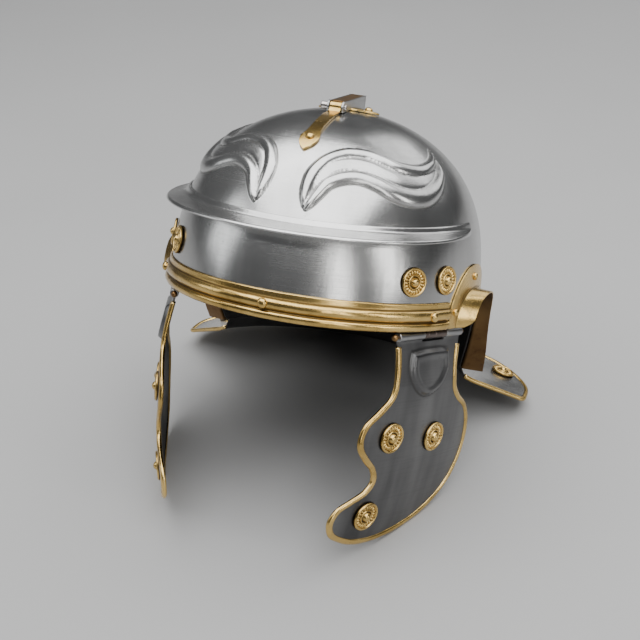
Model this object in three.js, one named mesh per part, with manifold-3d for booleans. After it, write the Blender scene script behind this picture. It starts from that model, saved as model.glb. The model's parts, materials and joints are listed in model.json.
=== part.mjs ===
import * as THREE from "three";
import { mergeVertices } from "three/addons/utils/BufferGeometryUtils.js";
import Module from "manifold-3d";

const wasm = await Module();
wasm.setup();

// Millimetres. The helmet is drawn level, front toward -Y, with its rim in the plane Z = 0.
const bowlDims = { halfWidth: 102, front: 115.1, back: 117.8, height: 124.3, wall: 1.4 };
const crownRise = 2.95;
const crownSpread = 1.97;
const gap = 0.35;
const stance = { pitchDeg: 21.88 };
const neck = { wallDrop: 42, flareZ: -50, sideDeg: 119.5, edging: 1.9 };
const peak = {
  frontZ: 56, endZ: 60.5, endDeg: 80, sheet: 1.6, flange: 4, droop: 2.5, droopOver: 20,
  endReach: 2.8, frontReach: 17.7, roundness: 2.6, fullness: 0.85,
};
const band = { endDeg: 67.5, height: 17.2, rivetDeg: 59, rivetZ: 9.9, rivetLift: 3.6 };
const hinge = {
  x: 74.1, y: -79.3, z: -3.4, toeDeg: 23.6, length: 63.6, hangDeg: 3.5,
  barrel: 2.9, bore: 1.1, pin: 0.8, leafStart: 25.2, leafEnd: 46.7, slack: 0.4,
  ball: 2.1, ballOut: 2.5, head: 1.9, headLength: 1.2, pinStart: -1.5, pinPast: 0.8,
};
const cheek = {
  sheet: 1.2, belly: 5, crossBelly: 3, crossMiddle: 30, crossHalf: 50, crossStart: 26,
  length: 128, edging: 2.1, pad: 1.2, innerPad: 1,
};
const rosette = { radius: 9.75, height: 3.4, onBowl: 0.935 };
const rivetRadius = 3;
const crest = {
  front: -29.2, back: 17.5, halfWidth: 5.5, sheet: 1.2, roofFront: -23.8,
  frontTop: 129.2, backTop: 134.3, curl: 3, curlY: -27, curlZ: 125.6, curlWidth: 7.8, strap: 4,
  lift: 0.1, rivet: 2,
  pin: 1.15, pinHole: 1.5, knob: 2.2, knobLength: 4.6, stub: 1.5, stubLength: 0.9,
};
const ear = { sheet: 1, rivet: 2.4 };
const bowlRosettes = { front: [49.7, 30.5], rear: [64.7, 31.2] };
const neckRosette = { across: 0.225, out: 0.815, step: 0.05, lift: 0.5 };

const rad = THREE.MathUtils.degToRad;
const V = (x, y, z) => new THREE.Vector3(x, y, z);

// ---------- solids ----------

function solidFrom(positions, triangles) {
  const geometry = new THREE.BufferGeometry();
  geometry.setAttribute("position", new THREE.Float32BufferAttribute(positions, 3));
  geometry.setIndex(triangles);
  return solidOf(geometry);
}

function solidOf(geometry) {
  geometry.deleteAttribute("normal");
  geometry.deleteAttribute("uv");
  const merged = mergeVertices(geometry, 1e-4);
  const at = merged.attributes.position;
  const index = merged.index.array;
  const kept = [];
  let volume = 0;
  const corner = [V(0, 0, 0), V(0, 0, 0), V(0, 0, 0)];
  for (let i = 0; i < index.length; i += 3) {
    const [a, b, c] = [index[i], index[i + 1], index[i + 2]];
    if (a === b || b === c || a === c) continue;
    kept.push(a, b, c);
    corner.forEach((p, k) => p.fromBufferAttribute(at, index[i + k]));
    volume += corner[0].dot(corner[1].clone().cross(corner[2]));
  }
  if (volume < 0) kept.reverse();
  const mesh = new wasm.Mesh({
    numProp: 3,
    vertProperties: new Float32Array(at.array),
    triVerts: new Uint32Array(kept),
  });
  return new wasm.Manifold(mesh);
}

// A section in (u, v) carried through `count` stations; place(k, u, v) gives the point.
function loft(outlineOf, count, place) {
  const contour = outlineOf.map(([u, v]) => new THREE.Vector2(u, v));
  if (THREE.ShapeUtils.isClockWise(contour)) contour.reverse();
  const section = contour.map((p) => [p.x, p.y]);
  const size = section.length;
  const positions = [];
  for (let k = 0; k < count; k += 1) {
    for (const [u, v] of section) positions.push(...place(k, u, v).toArray());
  }
  const triangles = [];
  for (let k = 0; k < count - 1; k += 1) {
    const next = k + 1;
    for (let i = 0; i < size; i += 1) {
      const j = (i + 1) % size;
      const [a, b, c, d] = [k * size + i, k * size + j, next * size + j, next * size + i];
      triangles.push(a, b, c, a, c, d);
    }
  }
  const end = (count - 1) * size;
  for (const [a, b, c] of THREE.ShapeUtils.triangulateShape(contour, [])) {
    triangles.push(a, c, b, end + a, end + b, end + c);
  }
  return solidFrom(positions, triangles);
}

// A sheet over a grid of points; cells where present(i, j) is false are left out.
function sheet(rows, columns, point, normal, thickness, present, lip = 0) {
  const positions = [];
  for (const depth of [lip, -thickness - lip]) {
    for (let i = 0; i < rows; i += 1) {
      for (let j = 0; j < columns; j += 1) {
        positions.push(...point(i, j).addScaledVector(normal(i, j), depth).toArray());
      }
    }
  }
  const id = (i, j, side) => side * rows * columns + i * columns + (j % columns);
  const has = (i, j) => i >= 0 && i < rows - 1 && present(i, (j + columns) % columns);
  const triangles = [];
  const quad = (a, b, c, d) => triangles.push(a, b, c, a, c, d);
  for (let i = 0; i < rows - 1; i += 1) {
    for (let j = 0; j < columns; j += 1) {
      if (!has(i, j)) continue;
      const k = j + 1;
      quad(id(i, j, 0), id(i + 1, j, 0), id(i + 1, k, 0), id(i, k, 0));
      quad(id(i, j, 1), id(i, k, 1), id(i + 1, k, 1), id(i + 1, j, 1));
      if (i && !has(i - 1, j)) quad(id(i, k, 0), id(i, k, 1), id(i, j, 1), id(i, j, 0));
      if (!has(i + 1, j)) quad(id(i + 1, j, 0), id(i + 1, j, 1), id(i + 1, k, 1), id(i + 1, k, 0));
      if (!has(i, j - 1)) quad(id(i, j, 0), id(i, j, 1), id(i + 1, j, 1), id(i + 1, j, 0));
      if (!has(i, j + 1)) quad(id(i + 1, k, 0), id(i + 1, k, 1), id(i, k, 1), id(i, k, 0));
    }
  }
  return solidFrom(positions, triangles);
}

function extruded(points, depth) {
  const shape = new THREE.Shape(points.map(([x, y]) => new THREE.Vector2(x, y)));
  const solid = solidOf(new THREE.ExtrudeGeometry(shape, { depth, bevelEnabled: false }));
  return solid.translate([0, 0, -depth / 2]);
}

function cylinder(radius, length, segments = 14) {
  return solidOf(new THREE.CylinderGeometry(radius, radius, length, segments));
}

const curveThrough = (points, count) =>
  new THREE.SplineCurve(points.map(([x, y]) => new THREE.Vector2(x, y)))
    .getPoints(count)
    .map((p) => [p.x, p.y]);

// The same outline moved outward (or inward, when negative) by a distance.
function offsetOutline(points, distance) {
  const area = THREE.ShapeUtils.area(points.map(([x, y]) => new THREE.Vector2(x, y)));
  const side = Math.sign(area) * distance;
  return points.map((p, i) => {
    const before = points[Math.max(i - 1, 0)];
    const after = points[Math.min(i + 1, points.length - 1)];
    const [dx, dy] = [after[0] - before[0], after[1] - before[1]];
    const length = Math.hypot(dx, dy);
    return [p[0] + (dy / length) * side, p[1] - (dx / length) * side];
  });
}

// ---------- placing ----------

const steel = { colour: "#8f9296", roughness: 0.28, metalness: 1 };
const darkSteel = { colour: "#55585b", roughness: 0.4, metalness: 1 };
const brass = { colour: "#c49a45", roughness: 0.3, metalness: 1 };

function part(name, solid, finish, parent) {
  const { vertProperties, triVerts } = solid.getMesh();
  const geometry = new THREE.BufferGeometry();
  geometry.setAttribute("position", new THREE.BufferAttribute(new Float32Array(vertProperties), 3));
  geometry.setIndex(new THREE.BufferAttribute(new Uint32Array(triVerts), 1));
  geometry.computeVertexNormals();
  const material = new THREE.MeshStandardMaterial({
    color: finish.colour,
    roughness: finish.roughness,
    metalness: finish.metalness,
  });
  const mesh = new THREE.Mesh(geometry, material);
  mesh.name = name;
  parent.add(mesh);
  return mesh;
}

// Stand a piece drawn about +Z on a point with its top along the normal.
function seat(mesh, point, normal) {
  mesh.position.copy(point);
  mesh.quaternion.setFromUnitVectors(V(0, 0, 1), normal);
}

function lathe(profile, segments) {
  const turned = new THREE.LatheGeometry(
    profile.map(([r, z]) => new THREE.Vector2(r, z)),
    segments,
  );
  return solidOf(turned.rotateX(Math.PI / 2));
}

const rosetteSolid = lathe([
  [0, 0], [rosette.radius, 0], [rosette.radius - 0.6, 1.9], [6.8, 1.2],
  [3.4, 1.4], [2, rosette.height - 0.5], [0, rosette.height],
], 14);
const rivetSolid = (radius) =>
  lathe([[0, 0], [radius, 0], [radius * 0.75, radius * 0.4], [0, radius * 0.6]], 10);

// ---------- the bowl's surface ----------

const spread = (z) => (1 - Math.max(z / bowlDims.height, 0) ** crownRise) ** (1 / crownSpread);
const length = (deg) => (Math.cos(rad(deg)) > 0 ? bowlDims.front : bowlDims.back);

// Angle 0 is the front, +90 the wearer's left; reach moves the point level and outward.
function onBowl(deg, z, reach = 0) {
  const across = bowlDims.halfWidth * Math.sin(rad(deg));
  const along = -length(deg) * Math.cos(rad(deg));
  const point = V(across * spread(z), along * spread(z), z);
  const out = V(across / bowlDims.halfWidth ** 2, along / length(deg) ** 2, 0).normalize();
  return point.addScaledVector(out, reach);
}

function bowlNormal(deg, z) {
  const turn = onBowl(deg + 0.1, z).sub(onBowl(deg - 0.1, z));
  const rise = onBowl(deg, z + 0.1).sub(onBowl(deg, z - 0.1));
  return turn.cross(rise).normalize();
}

function topOfBowl(x, y) {
  const away = Math.hypot(x / bowlDims.halfWidth, y / (y < 0 ? bowlDims.front : bowlDims.back));
  return bowlDims.height * (1 - away ** crownSpread) ** (1 / crownRise);
}

// Half of the neck guard's trailing edge, corner to middle.
const trailing = new THREE.CatmullRomCurve3([
  V(134, 92, -66.3), V(132.5, 109.5, -61.8), V(119.5, 124.5, -56.3), V(98, 137.5, -51.2),
  V(65, 151, -48.5), V(33, 163, -47.5), V(0, 168, -47),
]);
const smallRosette = rosetteSolid.scale([rosette.onBowl, rosette.onBowl, 1]);

// Across 0..1 runs from the side of the neck to its middle; out 0..1 from wall to edge.
function onGuard(across, out, lift = 0) {
  const side = across > 1 ? -1 : 1;
  const half = across > 1 ? 2 - across : across;
  const root = onBowl(neck.sideDeg + (180 - neck.sideDeg) * half, neck.flareZ);
  const edge = trailing.getPoint(half);
  const point = root.clone().lerp(edge, out);
  point.z = THREE.MathUtils.lerp(neck.flareZ, edge.z, out) + lift;
  point.x *= side;
  return point;
}

const guardOuts = [0.1, 0.3, 0.55, 0.78, 1];
const frontSpans = 22;
const sideSpans = 4;
const rearSpans = 16;
const columnDegs = [];
for (let k = 0; k < frontSpans; k += 1) columnDegs.push(-90 + (180 * k) / frontSpans);
for (let k = 0; k < sideSpans; k += 1) {
  columnDegs.push(90 + ((neck.sideDeg - 90) * k) / sideSpans);
}
for (let k = 0; k < rearSpans; k += 1) {
  columnDegs.push(neck.sideDeg + ((360 - 2 * neck.sideDeg) * k) / rearSpans);
}
for (let k = 0; k < sideSpans; k += 1) {
  columnDegs.push(360 - neck.sideDeg + ((neck.sideDeg - 90) * k) / sideSpans);
}
const guardStart = frontSpans + sideSpans;
const crownRows = 10;
const wallZs = [-14, -28, -neck.wallDrop];

function bowlPoint(i, j) {
  const deg = columnDegs[j];
  if (i <= crownRows) {
    const swing = rad(90 - (90 * i) / crownRows);
    return onBowl(deg, bowlDims.height * Math.sin(swing) ** (2 / crownRise));
  }
  if (i <= crownRows + wallZs.length) return onBowl(deg, wallZs[i - crownRows - 1]);
  const step = i - crownRows - wallZs.length - 1;
  const across = THREE.MathUtils.clamp(((j - guardStart) * 2) / rearSpans, 0, 2);
  if (step === 0) return onGuard(across, 0.02, 2.6);
  return onGuard(across, guardOuts[step - 1]);
}

function bowlGridNormal(i, j) {
  if (i === 0) return V(0, 0, 1);
  const deg = columnDegs[j];
  const lastWall = crownRows + wallZs.length;
  if (i < lastWall) {
    return bowlNormal(deg, Math.min(bowlPoint(i, j).z, bowlDims.height * 0.999));
  }
  const last = columnDegs.length - 1;
  const before = Math.max(j - 1, guardStart);
  const after = Math.min(j + 1, guardStart + rearSpans, last);
  if (j < guardStart || j > guardStart + rearSpans) return bowlNormal(deg, -1);
  const turn = bowlPoint(i, after).sub(bowlPoint(i, before));
  const rows = lastWall + guardOuts.length + 1;
  const rise = bowlPoint(i - 1, j).sub(bowlPoint(Math.min(i + 1, rows), j));
  return turn.cross(rise).normalize();
}

const bowlRows = crownRows + wallZs.length + 2 + guardOuts.length;
const inNeck = (j) => j >= guardStart && j < guardStart + rearSpans;
function bowlPresent(i, j) {
  if (i < crownRows) return true;
  if (i < crownRows + wallZs.length) return j >= frontSpans;
  return inNeck(j);
}

const bowlSheet = (from, thickness, lip) =>
  sheet(
    bowlRows, columnDegs.length, bowlPoint, bowlGridNormal, thickness,
    (i, j) => i >= from && bowlPresent(i, j), lip,
  );

// The ear opening seen from the side, in Y and Z: front leg, arch, rear leg.
const earArch = curveThrough([
  [-33, 0.3], [-32.5, 9], [-27, 18], [-16, 22.8], [-3, 23.5], [9, 20.5], [19, 13],
  [27.5, 2], [35, -11], [42, -23], [48.5, -34], [54, -44],
], 22);

function acrossHelmet(points, depth) {
  const side = extruded(points, depth);
  return side.rotate([90, 0, 90]);
}

// Ridge centre lines as angle and height, with the half width of each.
const eyebrows = [
  [[8, 76], [8.5, 87], [13, 95.3], [21.7, 99.6], [31, 100.2], [40, 97.6], [47.5, 94.6],
    [56, 93.7], [64, 95.6], [72, 99.6], [79, 105]],
  [[9.6, 74], [12, 83.5], [16.5, 90.6], [24, 94], [32, 94.3], [40.2, 90.4], [47, 87.4],
    [55, 86.8], [62.5, 89.6], [69.8, 94.2], [75, 99.5]],
  [[10, 70], [13, 77.6], [18, 84], [24.5, 86.9], [31.8, 86.4], [38.2, 83.2], [44.2, 80],
    [51, 79], [59, 81.6], [66.8, 87.8], [73, 94.5]],
];
const ridge = { halfWidth: 3, height: 1.6, root: -0.6, spans: 11 };

function eyebrowRidge(line) {
  const points = curveThrough(line, ridge.spans);
  const section = [[-1, 0], [1, 0], [0.4, 1], [-0.4, 1]];
  const at = (k) => onBowl(...points[THREE.MathUtils.clamp(k, 0, ridge.spans)]);
  return loft(section, ridge.spans + 1, (k, u, v) => {
    const normal = bowlNormal(...points[k]);
    const along = at(k + 1).sub(at(k - 1)).normalize();
    const aside = normal.clone().cross(along);
    const taper = Math.min(1, 0.35 + Math.sin((Math.PI * k) / ridge.spans) * 1.3);
    const height = ridge.root + v * (ridge.height * taper - ridge.root);
    return at(k).addScaledVector(aside, u * ridge.halfWidth * taper).addScaledVector(normal, height);
  });
}

const helmet = new THREE.Group();
helmet.name = "helmet";

let bowlSolid = bowlSheet(0, bowlDims.wall, 0);
const earWindow = [...earArch, [58.5, -49], [57, -80], [-33, -80]];
bowlSolid = bowlSolid.subtract(acrossHelmet(earWindow, 2 * bowlDims.halfWidth + 10));
for (const line of eyebrows) {
  const raised = eyebrowRidge(line);
  bowlSolid = bowlSolid.add(raised).add(raised.scale([-1, 1, 1]));
}
part("bowl", bowlSolid, steel, helmet);

// ---------- brow peak and brow band ----------

function aroundFront(section, endDeg, spans, place) {
  return loft(section, spans + 1, (k, u, v) => place(-endDeg + (2 * endDeg * k) / spans, u, v));
}

const peakReach = (deg) => {
  const share = Math.abs(deg) / peak.endDeg;
  const fall = Math.max(1 - share ** peak.roundness, 0) ** peak.fullness;
  return peak.endReach + peak.frontReach * fall;
};
const peakZ = (deg) => peak.frontZ + (peak.endZ - peak.frontZ) * (deg / peak.endDeg) ** 2;
const peakSection = [[0, 0], [1, 0], [1, 1], [0.1, 1], [0.07, 2], [0, 2]];
part("brow_peak", aroundFront(peakSection, peak.endDeg, 32, (deg, u, v) => {
  const reach = u < 0.5 ? gap + u * 20 : peakReach(deg);
  const level = v < 1.5 ? v * peak.sheet : peak.flange;
  const droop = u > 0.5 ? (peak.droop * peakReach(deg)) / peak.droopOver : 0;
  return onBowl(deg, peakZ(deg) + level, reach).add(V(0, 0, -droop));
}), steel, helmet);

const bandSection = [
  [gap, 0.3], [1.8, 0.3], [3, 1.8], [3, 4], [1.6, 5.6], [2.4, 6.8], [3.6, 8.8],
  [3.6, 11], [2.4, 13], [1.6, 13.6], [1.4, band.height], [gap, band.height],
];
part("brow_band", aroundFront(bandSection, band.endDeg, 32, (deg, u, v) => onBowl(deg, v, u)),
  brass, helmet);

function standOn(name, solid, deg, z, lift, finish) {
  const mesh = part(name, solid, finish, helmet);
  const normal = bowlNormal(deg, z);
  seat(mesh, onBowl(deg, z).addScaledVector(normal, lift), normal);
}

const bandRivets = { left: band.rivetDeg, centre: 0, right: -band.rivetDeg };
for (const [where, deg] of Object.entries(bandRivets)) {
  const name = `brow_band_rivet_${where}`;
  standOn(name, rivetSolid(rivetRadius), deg, band.rivetZ, band.rivetLift + gap, brass);
}

// ---------- crest saddle and channel ----------

const spade = [[0, 81], [3.4, 78.5], [5.6, 74.5], [6, 71], [5.4, 67.5], [4.2, 63.5]];
const tab = [[4.1, 14], [9, 10.5], [15, 7.5], [19, 4], [21, 0]];
const quarter = [...spade, [crest.strap, 30], ...tab];
const mirrorY = ([x, y]) => [x, -y];
const mirrorX = ([x, y]) => [-x, y];
const rightHalf = [...quarter, ...quarter.slice(1, -1).reverse().map(mirrorY), [0, -80]];
const plan = [...rightHalf, ...rightHalf.slice(1, -1).reverse().map(mirrorX)];
const settle = (v) => {
  v[2] += topOfBowl(v[0], v[1]);
};
const saddleBase = gap + crest.lift;
let saddleSolid = extruded(plan, crest.sheet)
  .translate([0, 0, saddleBase + crest.sheet / 2])
  .refineToLength(12)
  .warp(settle);
// The strap stands up in front of the channel and rolls round a cross pin.
const acrossCrest = (radius, length, x) =>
  cylinder(radius, length).rotate([0, 0, 90]).translate([x, crest.curlY, crest.curlZ]);
const riserFront = crest.curlY - crest.curl;
const riserFoot = topOfBowl(0, riserFront) + saddleBase + crest.sheet / 2;
const riser = acrossHelmet([
  [riserFront, riserFoot], [riserFront + crest.sheet, riserFoot],
  [riserFront + crest.sheet, crest.curlZ], [riserFront, crest.curlZ],
], crest.curlWidth);
const pinHole = acrossCrest(crest.pinHole, 4 * crest.halfWidth, 0);
saddleSolid = saddleSolid
  .add(riser)
  .add(acrossCrest(crest.curl, crest.curlWidth, 0))
  .subtract(pinHole);
part("crest_saddle", saddleSolid, brass, helmet);

const saddleTop = saddleBase + crest.sheet + gap;
const footYs = [crest.back, 10, 0, -10, -20, crest.front];
const foot = footYs.map((y) => [y, topOfBowl(4, y) + saddleTop]);
const rise = (crest.backTop - crest.frontTop) / (crest.back - crest.roofFront);
const roofZ = (y) => crest.frontTop + (y - crest.roofFront) * rise;
const cheekShape = [...foot, [crest.front - 1.2, 125.2], [crest.front - 0.8, 127.4],
  [crest.curlY, crest.frontTop], [crest.roofFront, roofZ(crest.roofFront)],
  [crest.back, crest.backTop]];
const sideX = crest.halfWidth - crest.sheet / 2;
const sidePlate = acrossHelmet(cheekShape, crest.sheet);
const roof = acrossHelmet([
  [crest.roofFront, roofZ(crest.roofFront) - crest.sheet], [crest.back, crest.backTop - crest.sheet],
  [crest.back, crest.backTop], [crest.roofFront, roofZ(crest.roofFront)],
], 2 * crest.halfWidth);
const channelSolid = sidePlate
  .translate([sideX, 0, 0])
  .add(sidePlate.translate([-sideX, 0, 0]))
  .add(roof)
  .subtract(pinHole);
part("crest_channel", channelSolid, darkSteel, helmet);

const pinReach = crest.halfWidth + gap;
const crestPin = acrossCrest(crest.pin, 2 * pinReach + 1, 0)
  .add(acrossCrest(crest.knob, crest.knobLength, -pinReach - crest.knobLength / 2))
  .add(acrossCrest(crest.stub, crest.stubLength, pinReach + crest.stubLength / 2));
part("crest_pin", crestPin, darkSteel, helmet);

const crestRivets = { front: [0, -71], rear: [0, 71], left: [13.5, 0], right: [-13.5, 0] };
for (const [where, [x, y]] of Object.entries(crestRivets)) {
  const mesh = part(`crest_rivet_${where}`, rivetSolid(crest.rivet), brass, helmet);
  const slopeX = topOfBowl(x + 0.5, y) - topOfBowl(x - 0.5, y);
  const slopeY = topOfBowl(x, y + 0.5) - topOfBowl(x, y - 0.5);
  const normal = V(-slopeX, -slopeY, 1).normalize();
  const top = V(x, y, topOfBowl(x, y) + saddleBase + crest.sheet);
  seat(mesh, top.addScaledVector(normal, gap), normal);
}

// ---------- ear guards, rosettes on the bowl, neck guard trim ----------

const earOuter = curveThrough([
  [-42, 0.3], [-41, 13], [-34, 27], [-23, 36], [-9, 39], [6, 36], [20, 27],
  [32, 13], [42, -2], [50, -16], [56.5, -28], [61, -38],
], 22);
const earTip = curveThrough([
  [-25, 1], [-24, 9], [-19, 17], [-11, 21.5], [-1, 22.3], [9, 18.5], [20, 11],
  [30, 0], [38.5, -13], [46, -25], [53, -35.5], [60, -44.5],
], 22);
const earReach = curveThrough([
  [0, 11.7], [1, 12], [2, 12.1], [3, 11.8], [4, 11.1], [5, 10.2], [6, 9.8],
  [7, 10.1], [8, 11], [9, 12.6], [10, 14], [11, 15.1],
], 22);

// The bowl's side seen from outside: where a point at (y, z) meets the surface.
function fromSide(y, z, reach) {
  const share = y / (y < 0 ? bowlDims.front : bowlDims.back) / spread(z);
  const deg = THREE.MathUtils.radToDeg(Math.acos(-share));
  return onBowl(deg, z, reach);
}

const earSection = [[0, 0], [0, 1], [1, 1], [2, 1], [2, 0], [1, 0]];
const earSolid = loft(earSection, earArch.length, (k, u, v) => {
  const [outer, root, tip] = [earOuter[k], earArch[k], earTip[k]];
  const away = new THREE.Vector2(outer[0] - root[0], outer[1] - root[1]).normalize();
  if (u === 0) return fromSide(outer[0], outer[1], gap + v * ear.sheet);
  const inward = u === 1 && v === 0 ? 0 : v * ear.sheet;
  if (u === 1) {
    return fromSide(root[0] + away.x * inward, root[1] + away.y * inward, gap + v * ear.sheet);
  }
  const base = fromSide(root[0], root[1], 0);
  return V(base.x + earReach[k][1], tip[0] + away.x * inward, tip[1] + away.y * inward);
});

for (const [side, sign] of [["left", 1], ["right", -1]]) {
  part(`ear_guard_${side}`, earSolid.scale([sign, 1, 1]), brass, helmet);
  const rivets = { top: [-10.2, 31.3], front: [-36, 10.5], rear: [43, -12.5] };
  for (const [where, [y, z]] of Object.entries(rivets)) {
    const point = fromSide(y, z, 0);
    const share = (point.x / bowlDims.halfWidth) / spread(z);
    const half = THREE.MathUtils.radToDeg(Math.asin(share));
    const deg = (y > 0 ? 180 - half : half) * sign;
    const name = `ear_guard_${side}_rivet_${where}`;
    standOn(name, rivetSolid(ear.rivet), deg, z, ear.sheet + 2 * gap, brass);
  }
  for (const [where, [deg, z]] of Object.entries(bowlRosettes)) {
    standOn(`bowl_rosette_${side}_${where}`, smallRosette, deg * sign, z, gap, brass);
  }

  const { across, out, step, lift } = neckRosette;
  const mesh = part(`neck_rosette_${side}`, rosetteSolid, brass, helmet);
  const seatPoint = onGuard(across, out);
  const alongEdge = onGuard(across + step, out).sub(onGuard(across - step, out));
  const outward = onGuard(across, out + step).sub(onGuard(across, out - step));
  const up = outward.cross(alongEdge).normalize();
  if (up.z < 0) up.negate();
  seatPoint.x *= sign;
  up.x *= sign;
  seat(mesh, seatPoint.addScaledVector(up, gap + lift), up);
}

// The free edge of the neck guard, corner of the ear to corner of the ear.
const edgeStations = [];
for (let k = 0; k < 4; k += 1) edgeStations.push([0, 0.16 + 0.2 * k]);
for (let k = 0; k <= rearSpans; k += 1) edgeStations.push([(2 * k) / rearSpans, 0.985]);
for (let k = 3; k >= 0; k -= 1) edgeStations.push([2, 0.16 + 0.2 * k]);
const middle = -bowlDims.wall / 2;
const edgePoints = edgeStations.map(([across, out]) => onGuard(across, out, middle));
const hexagon = [];
for (let k = 0; k < 6; k += 1) {
  hexagon.push([Math.cos(rad(60 * k)), Math.sin(rad(60 * k))]);
}
const neckTube = loft(hexagon, edgePoints.length, (k, u, v) => {
  const along = edgePoints[Math.min(k + 1, edgePoints.length - 1)]
    .clone()
    .sub(edgePoints[Math.max(k - 1, 0)])
    .normalize();
  const aside = along.clone().cross(V(0, 0, 1)).normalize();
  const up = aside.clone().cross(along);
  return edgePoints[k]
    .clone()
    .addScaledVector(aside, u * neck.edging)
    .addScaledVector(up, v * neck.edging);
});
const grow = { x: 1.0035, y: 1.007, aboutY: 100 };
const fatGuard = bowlSheet(crownRows + wallZs.length, bowlDims.wall, gap)
  .translate([0, -grow.aboutY, 0])
  .scale([grow.x, grow.y, 1])
  .translate([0, grow.aboutY, 0]);
part("neck_edging", neckTube.subtract(fatGuard), brass, helmet);

// ---------- cheek guards ----------

// Plate coordinates: s runs rearward along the hinge, t runs down from its axis.
const outline = curveThrough([
  [1.5, 6], [2, 13], [1.5, 25], [-1, 36], [-10, 44.5], [-19, 51.5], [-22.5, 59], [-21.5, 67],
  [-15, 75], [-7.5, 82], [-4.5, 90], [-9, 97], [-19, 102], [-28, 107], [-31.5, 115],
  [-28, 123.5], [-20, 128.5], [-8, 132.5], [8, 133.8], [24, 132], [40, 128], [55, 122.5],
  [70, 113.5], [80, 103.5], [86, 91], [88.5, 77], [86.5, 62], [80, 50.5], [69, 42.5],
  [62.5, 34], [61, 20], [62.5, 8],
], 46);
const plateTop = [[63.2, 0], [hinge.leafEnd + hinge.slack, 0], [hinge.leafEnd + hinge.slack, 5],
  [hinge.leafStart - hinge.slack, 5], [hinge.leafStart - hinge.slack, 0], [0.4, 0]];
const hang = 4;

function belly(s, t) {
  const down = Math.max(t - hang, 0);
  const share = Math.min(down / (cheek.length - hang), 1.1);
  const across = 1 - ((s - cheek.crossMiddle) / cheek.crossHalf) ** 2;
  const cross = cheek.crossBelly * Math.min(down / cheek.crossStart, 1) * across;
  return cheek.belly * 4 * share * (1 - share) + cross;
}
const bend = (v) => {
  v[0] += belly(v[1], -v[2]);
};

// From flat (s, t) to plate space: X outward, Y along the hinge, Z up.
const upright = (solid) =>
  solid.transform([0, 1, 0, 0, 0, 0, -1, 0, 1, 0, 0, 0, 0, 0, 0, 1]);

const shield = [[14, 9], [50, 9.5], [52, 16], [51.5, 22], [46, 30], [38, 35.5], [31, 37.5],
  [24, 35], [17, 29.5], [13.5, 22], [13, 15]];
const shieldInner = [[18, 12.5], [46, 13], [47.5, 21], [42.5, 27.5], [31, 33.5], [20.5, 27],
  [17.5, 20.5]];

let plate = upright(extruded([...outline, ...plateTop], cheek.sheet));
const padMiddle = cheek.sheet / 2 + cheek.pad / 3;
const innerMiddle = cheek.sheet / 2 + cheek.pad + cheek.innerPad / 5;
plate = plate.add(upright(extruded(shield, cheek.pad).translate([0, 0, padMiddle])));
plate = plate.add(upright(extruded(shieldInner, cheek.innerPad).translate([0, 0, innerMiddle])));
const fatOutline = offsetOutline(outline, gap);
let cheekTube = (() => {
  const line = offsetOutline(outline, -0.5);
  return loft(hexagon, line.length, (k, u, v) => {
    const before = line[Math.max(k - 1, 0)];
    const after = line[Math.min(k + 1, line.length - 1)];
    const along = new THREE.Vector2(after[0] - before[0], after[1] - before[1]).normalize();
    const s = line[k][0] + along.y * u * cheek.edging;
    const t = line[k][1] - along.x * u * cheek.edging;
    return V(v * cheek.edging, s, -t);
  });
})();
const fatTop = [[62.5 + gap, 0], [1.5 - gap, 0]];
cheekTube = cheekTube.subtract(upright(extruded([...fatOutline, ...fatTop], cheek.sheet + 3.4 * gap)));
plate = plate.refineToLength(13).warp(bend);
cheekTube = cheekTube.warp(bend);

const knuckle = (from, to, radius) =>
  cylinder(radius, to - from).translate([0, (from + to) / 2, 0]);
const boreSolid = knuckle(-5, hinge.length + 5, hinge.bore);
plate = plate
  .add(knuckle(0, hinge.leafStart - hinge.slack, hinge.barrel))
  .add(knuckle(hinge.leafEnd + hinge.slack, hinge.length, hinge.barrel))
  .subtract(boreSolid);

const leafSection = [[-0.6, 0], [0.6, 0], [1.3, 5], [1.3, 17], [0.1, 17], [0.1, 5.6]];
const leafEnds = [hinge.leafStart, hinge.leafEnd];
const leaf = loft(leafSection, 2, (k, u, v) => V(u, leafEnds[k], v))
  .add(knuckle(...leafEnds, hinge.barrel))
  .subtract(boreSolid);

const ball = solidOf(new THREE.SphereGeometry(hinge.ball, 10, 6))
  .translate([0, -hinge.ballOut, 0]);
const headStart = hinge.length + hinge.slack;
const pinSolid = knuckle(hinge.pinStart, hinge.length + hinge.pinPast, hinge.pin)
  .add(ball)
  .add(knuckle(headStart, headStart + hinge.headLength, hinge.head));

const cheekRosettes = { front: [3, 62], rear: [46, 66.5], tip: [-3, 114] };

for (const [side, sign] of [["left", 1], ["right", -1]]) {
  const line = new THREE.Group();
  line.name = `hinge_line_${side}`;
  line.position.set(hinge.x * sign, hinge.y, hinge.z);
  line.rotation.z = -rad(hinge.toeDeg) * sign;
  helmet.add(line);
  part(`hinge_leaf_${side}`, leaf.scale([sign, 1, 1]), darkSteel, line);
  part(`hinge_pin_${side}`, pinSolid.scale([sign, 1, 1]), brass, line);

  const hanging = new THREE.Group();
  hanging.name = `hanging_${side}`;
  hanging.rotation.y = rad(hinge.hangDeg) * sign;
  line.add(hanging);
  part(`cheek_guard_${side}`, plate.scale([sign, 1, 1]), darkSteel, hanging);
  part(`cheek_edging_${side}`, cheekTube.scale([sign, 1, 1]), brass, hanging);
  for (const [where, [s, t]] of Object.entries(cheekRosettes)) {
    const mesh = part(`cheek_rosette_${side}_${where}`, rosetteSolid, brass, hanging);
    const slopeS = belly(s + 1, t) - belly(s - 1, t);
    const slopeT = belly(s, t + 1) - belly(s, t - 1);
    const normal = V(1, -slopeS / 2, slopeT / 2).normalize();
    const point = V(belly(s, t) + cheek.sheet / 2, s, -t).addScaledVector(normal, gap);
    point.x *= sign;
    normal.x *= sign;
    seat(mesh, point, normal);
  }
}

helmet.rotation.x = -rad(stance.pitchDeg);

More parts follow.
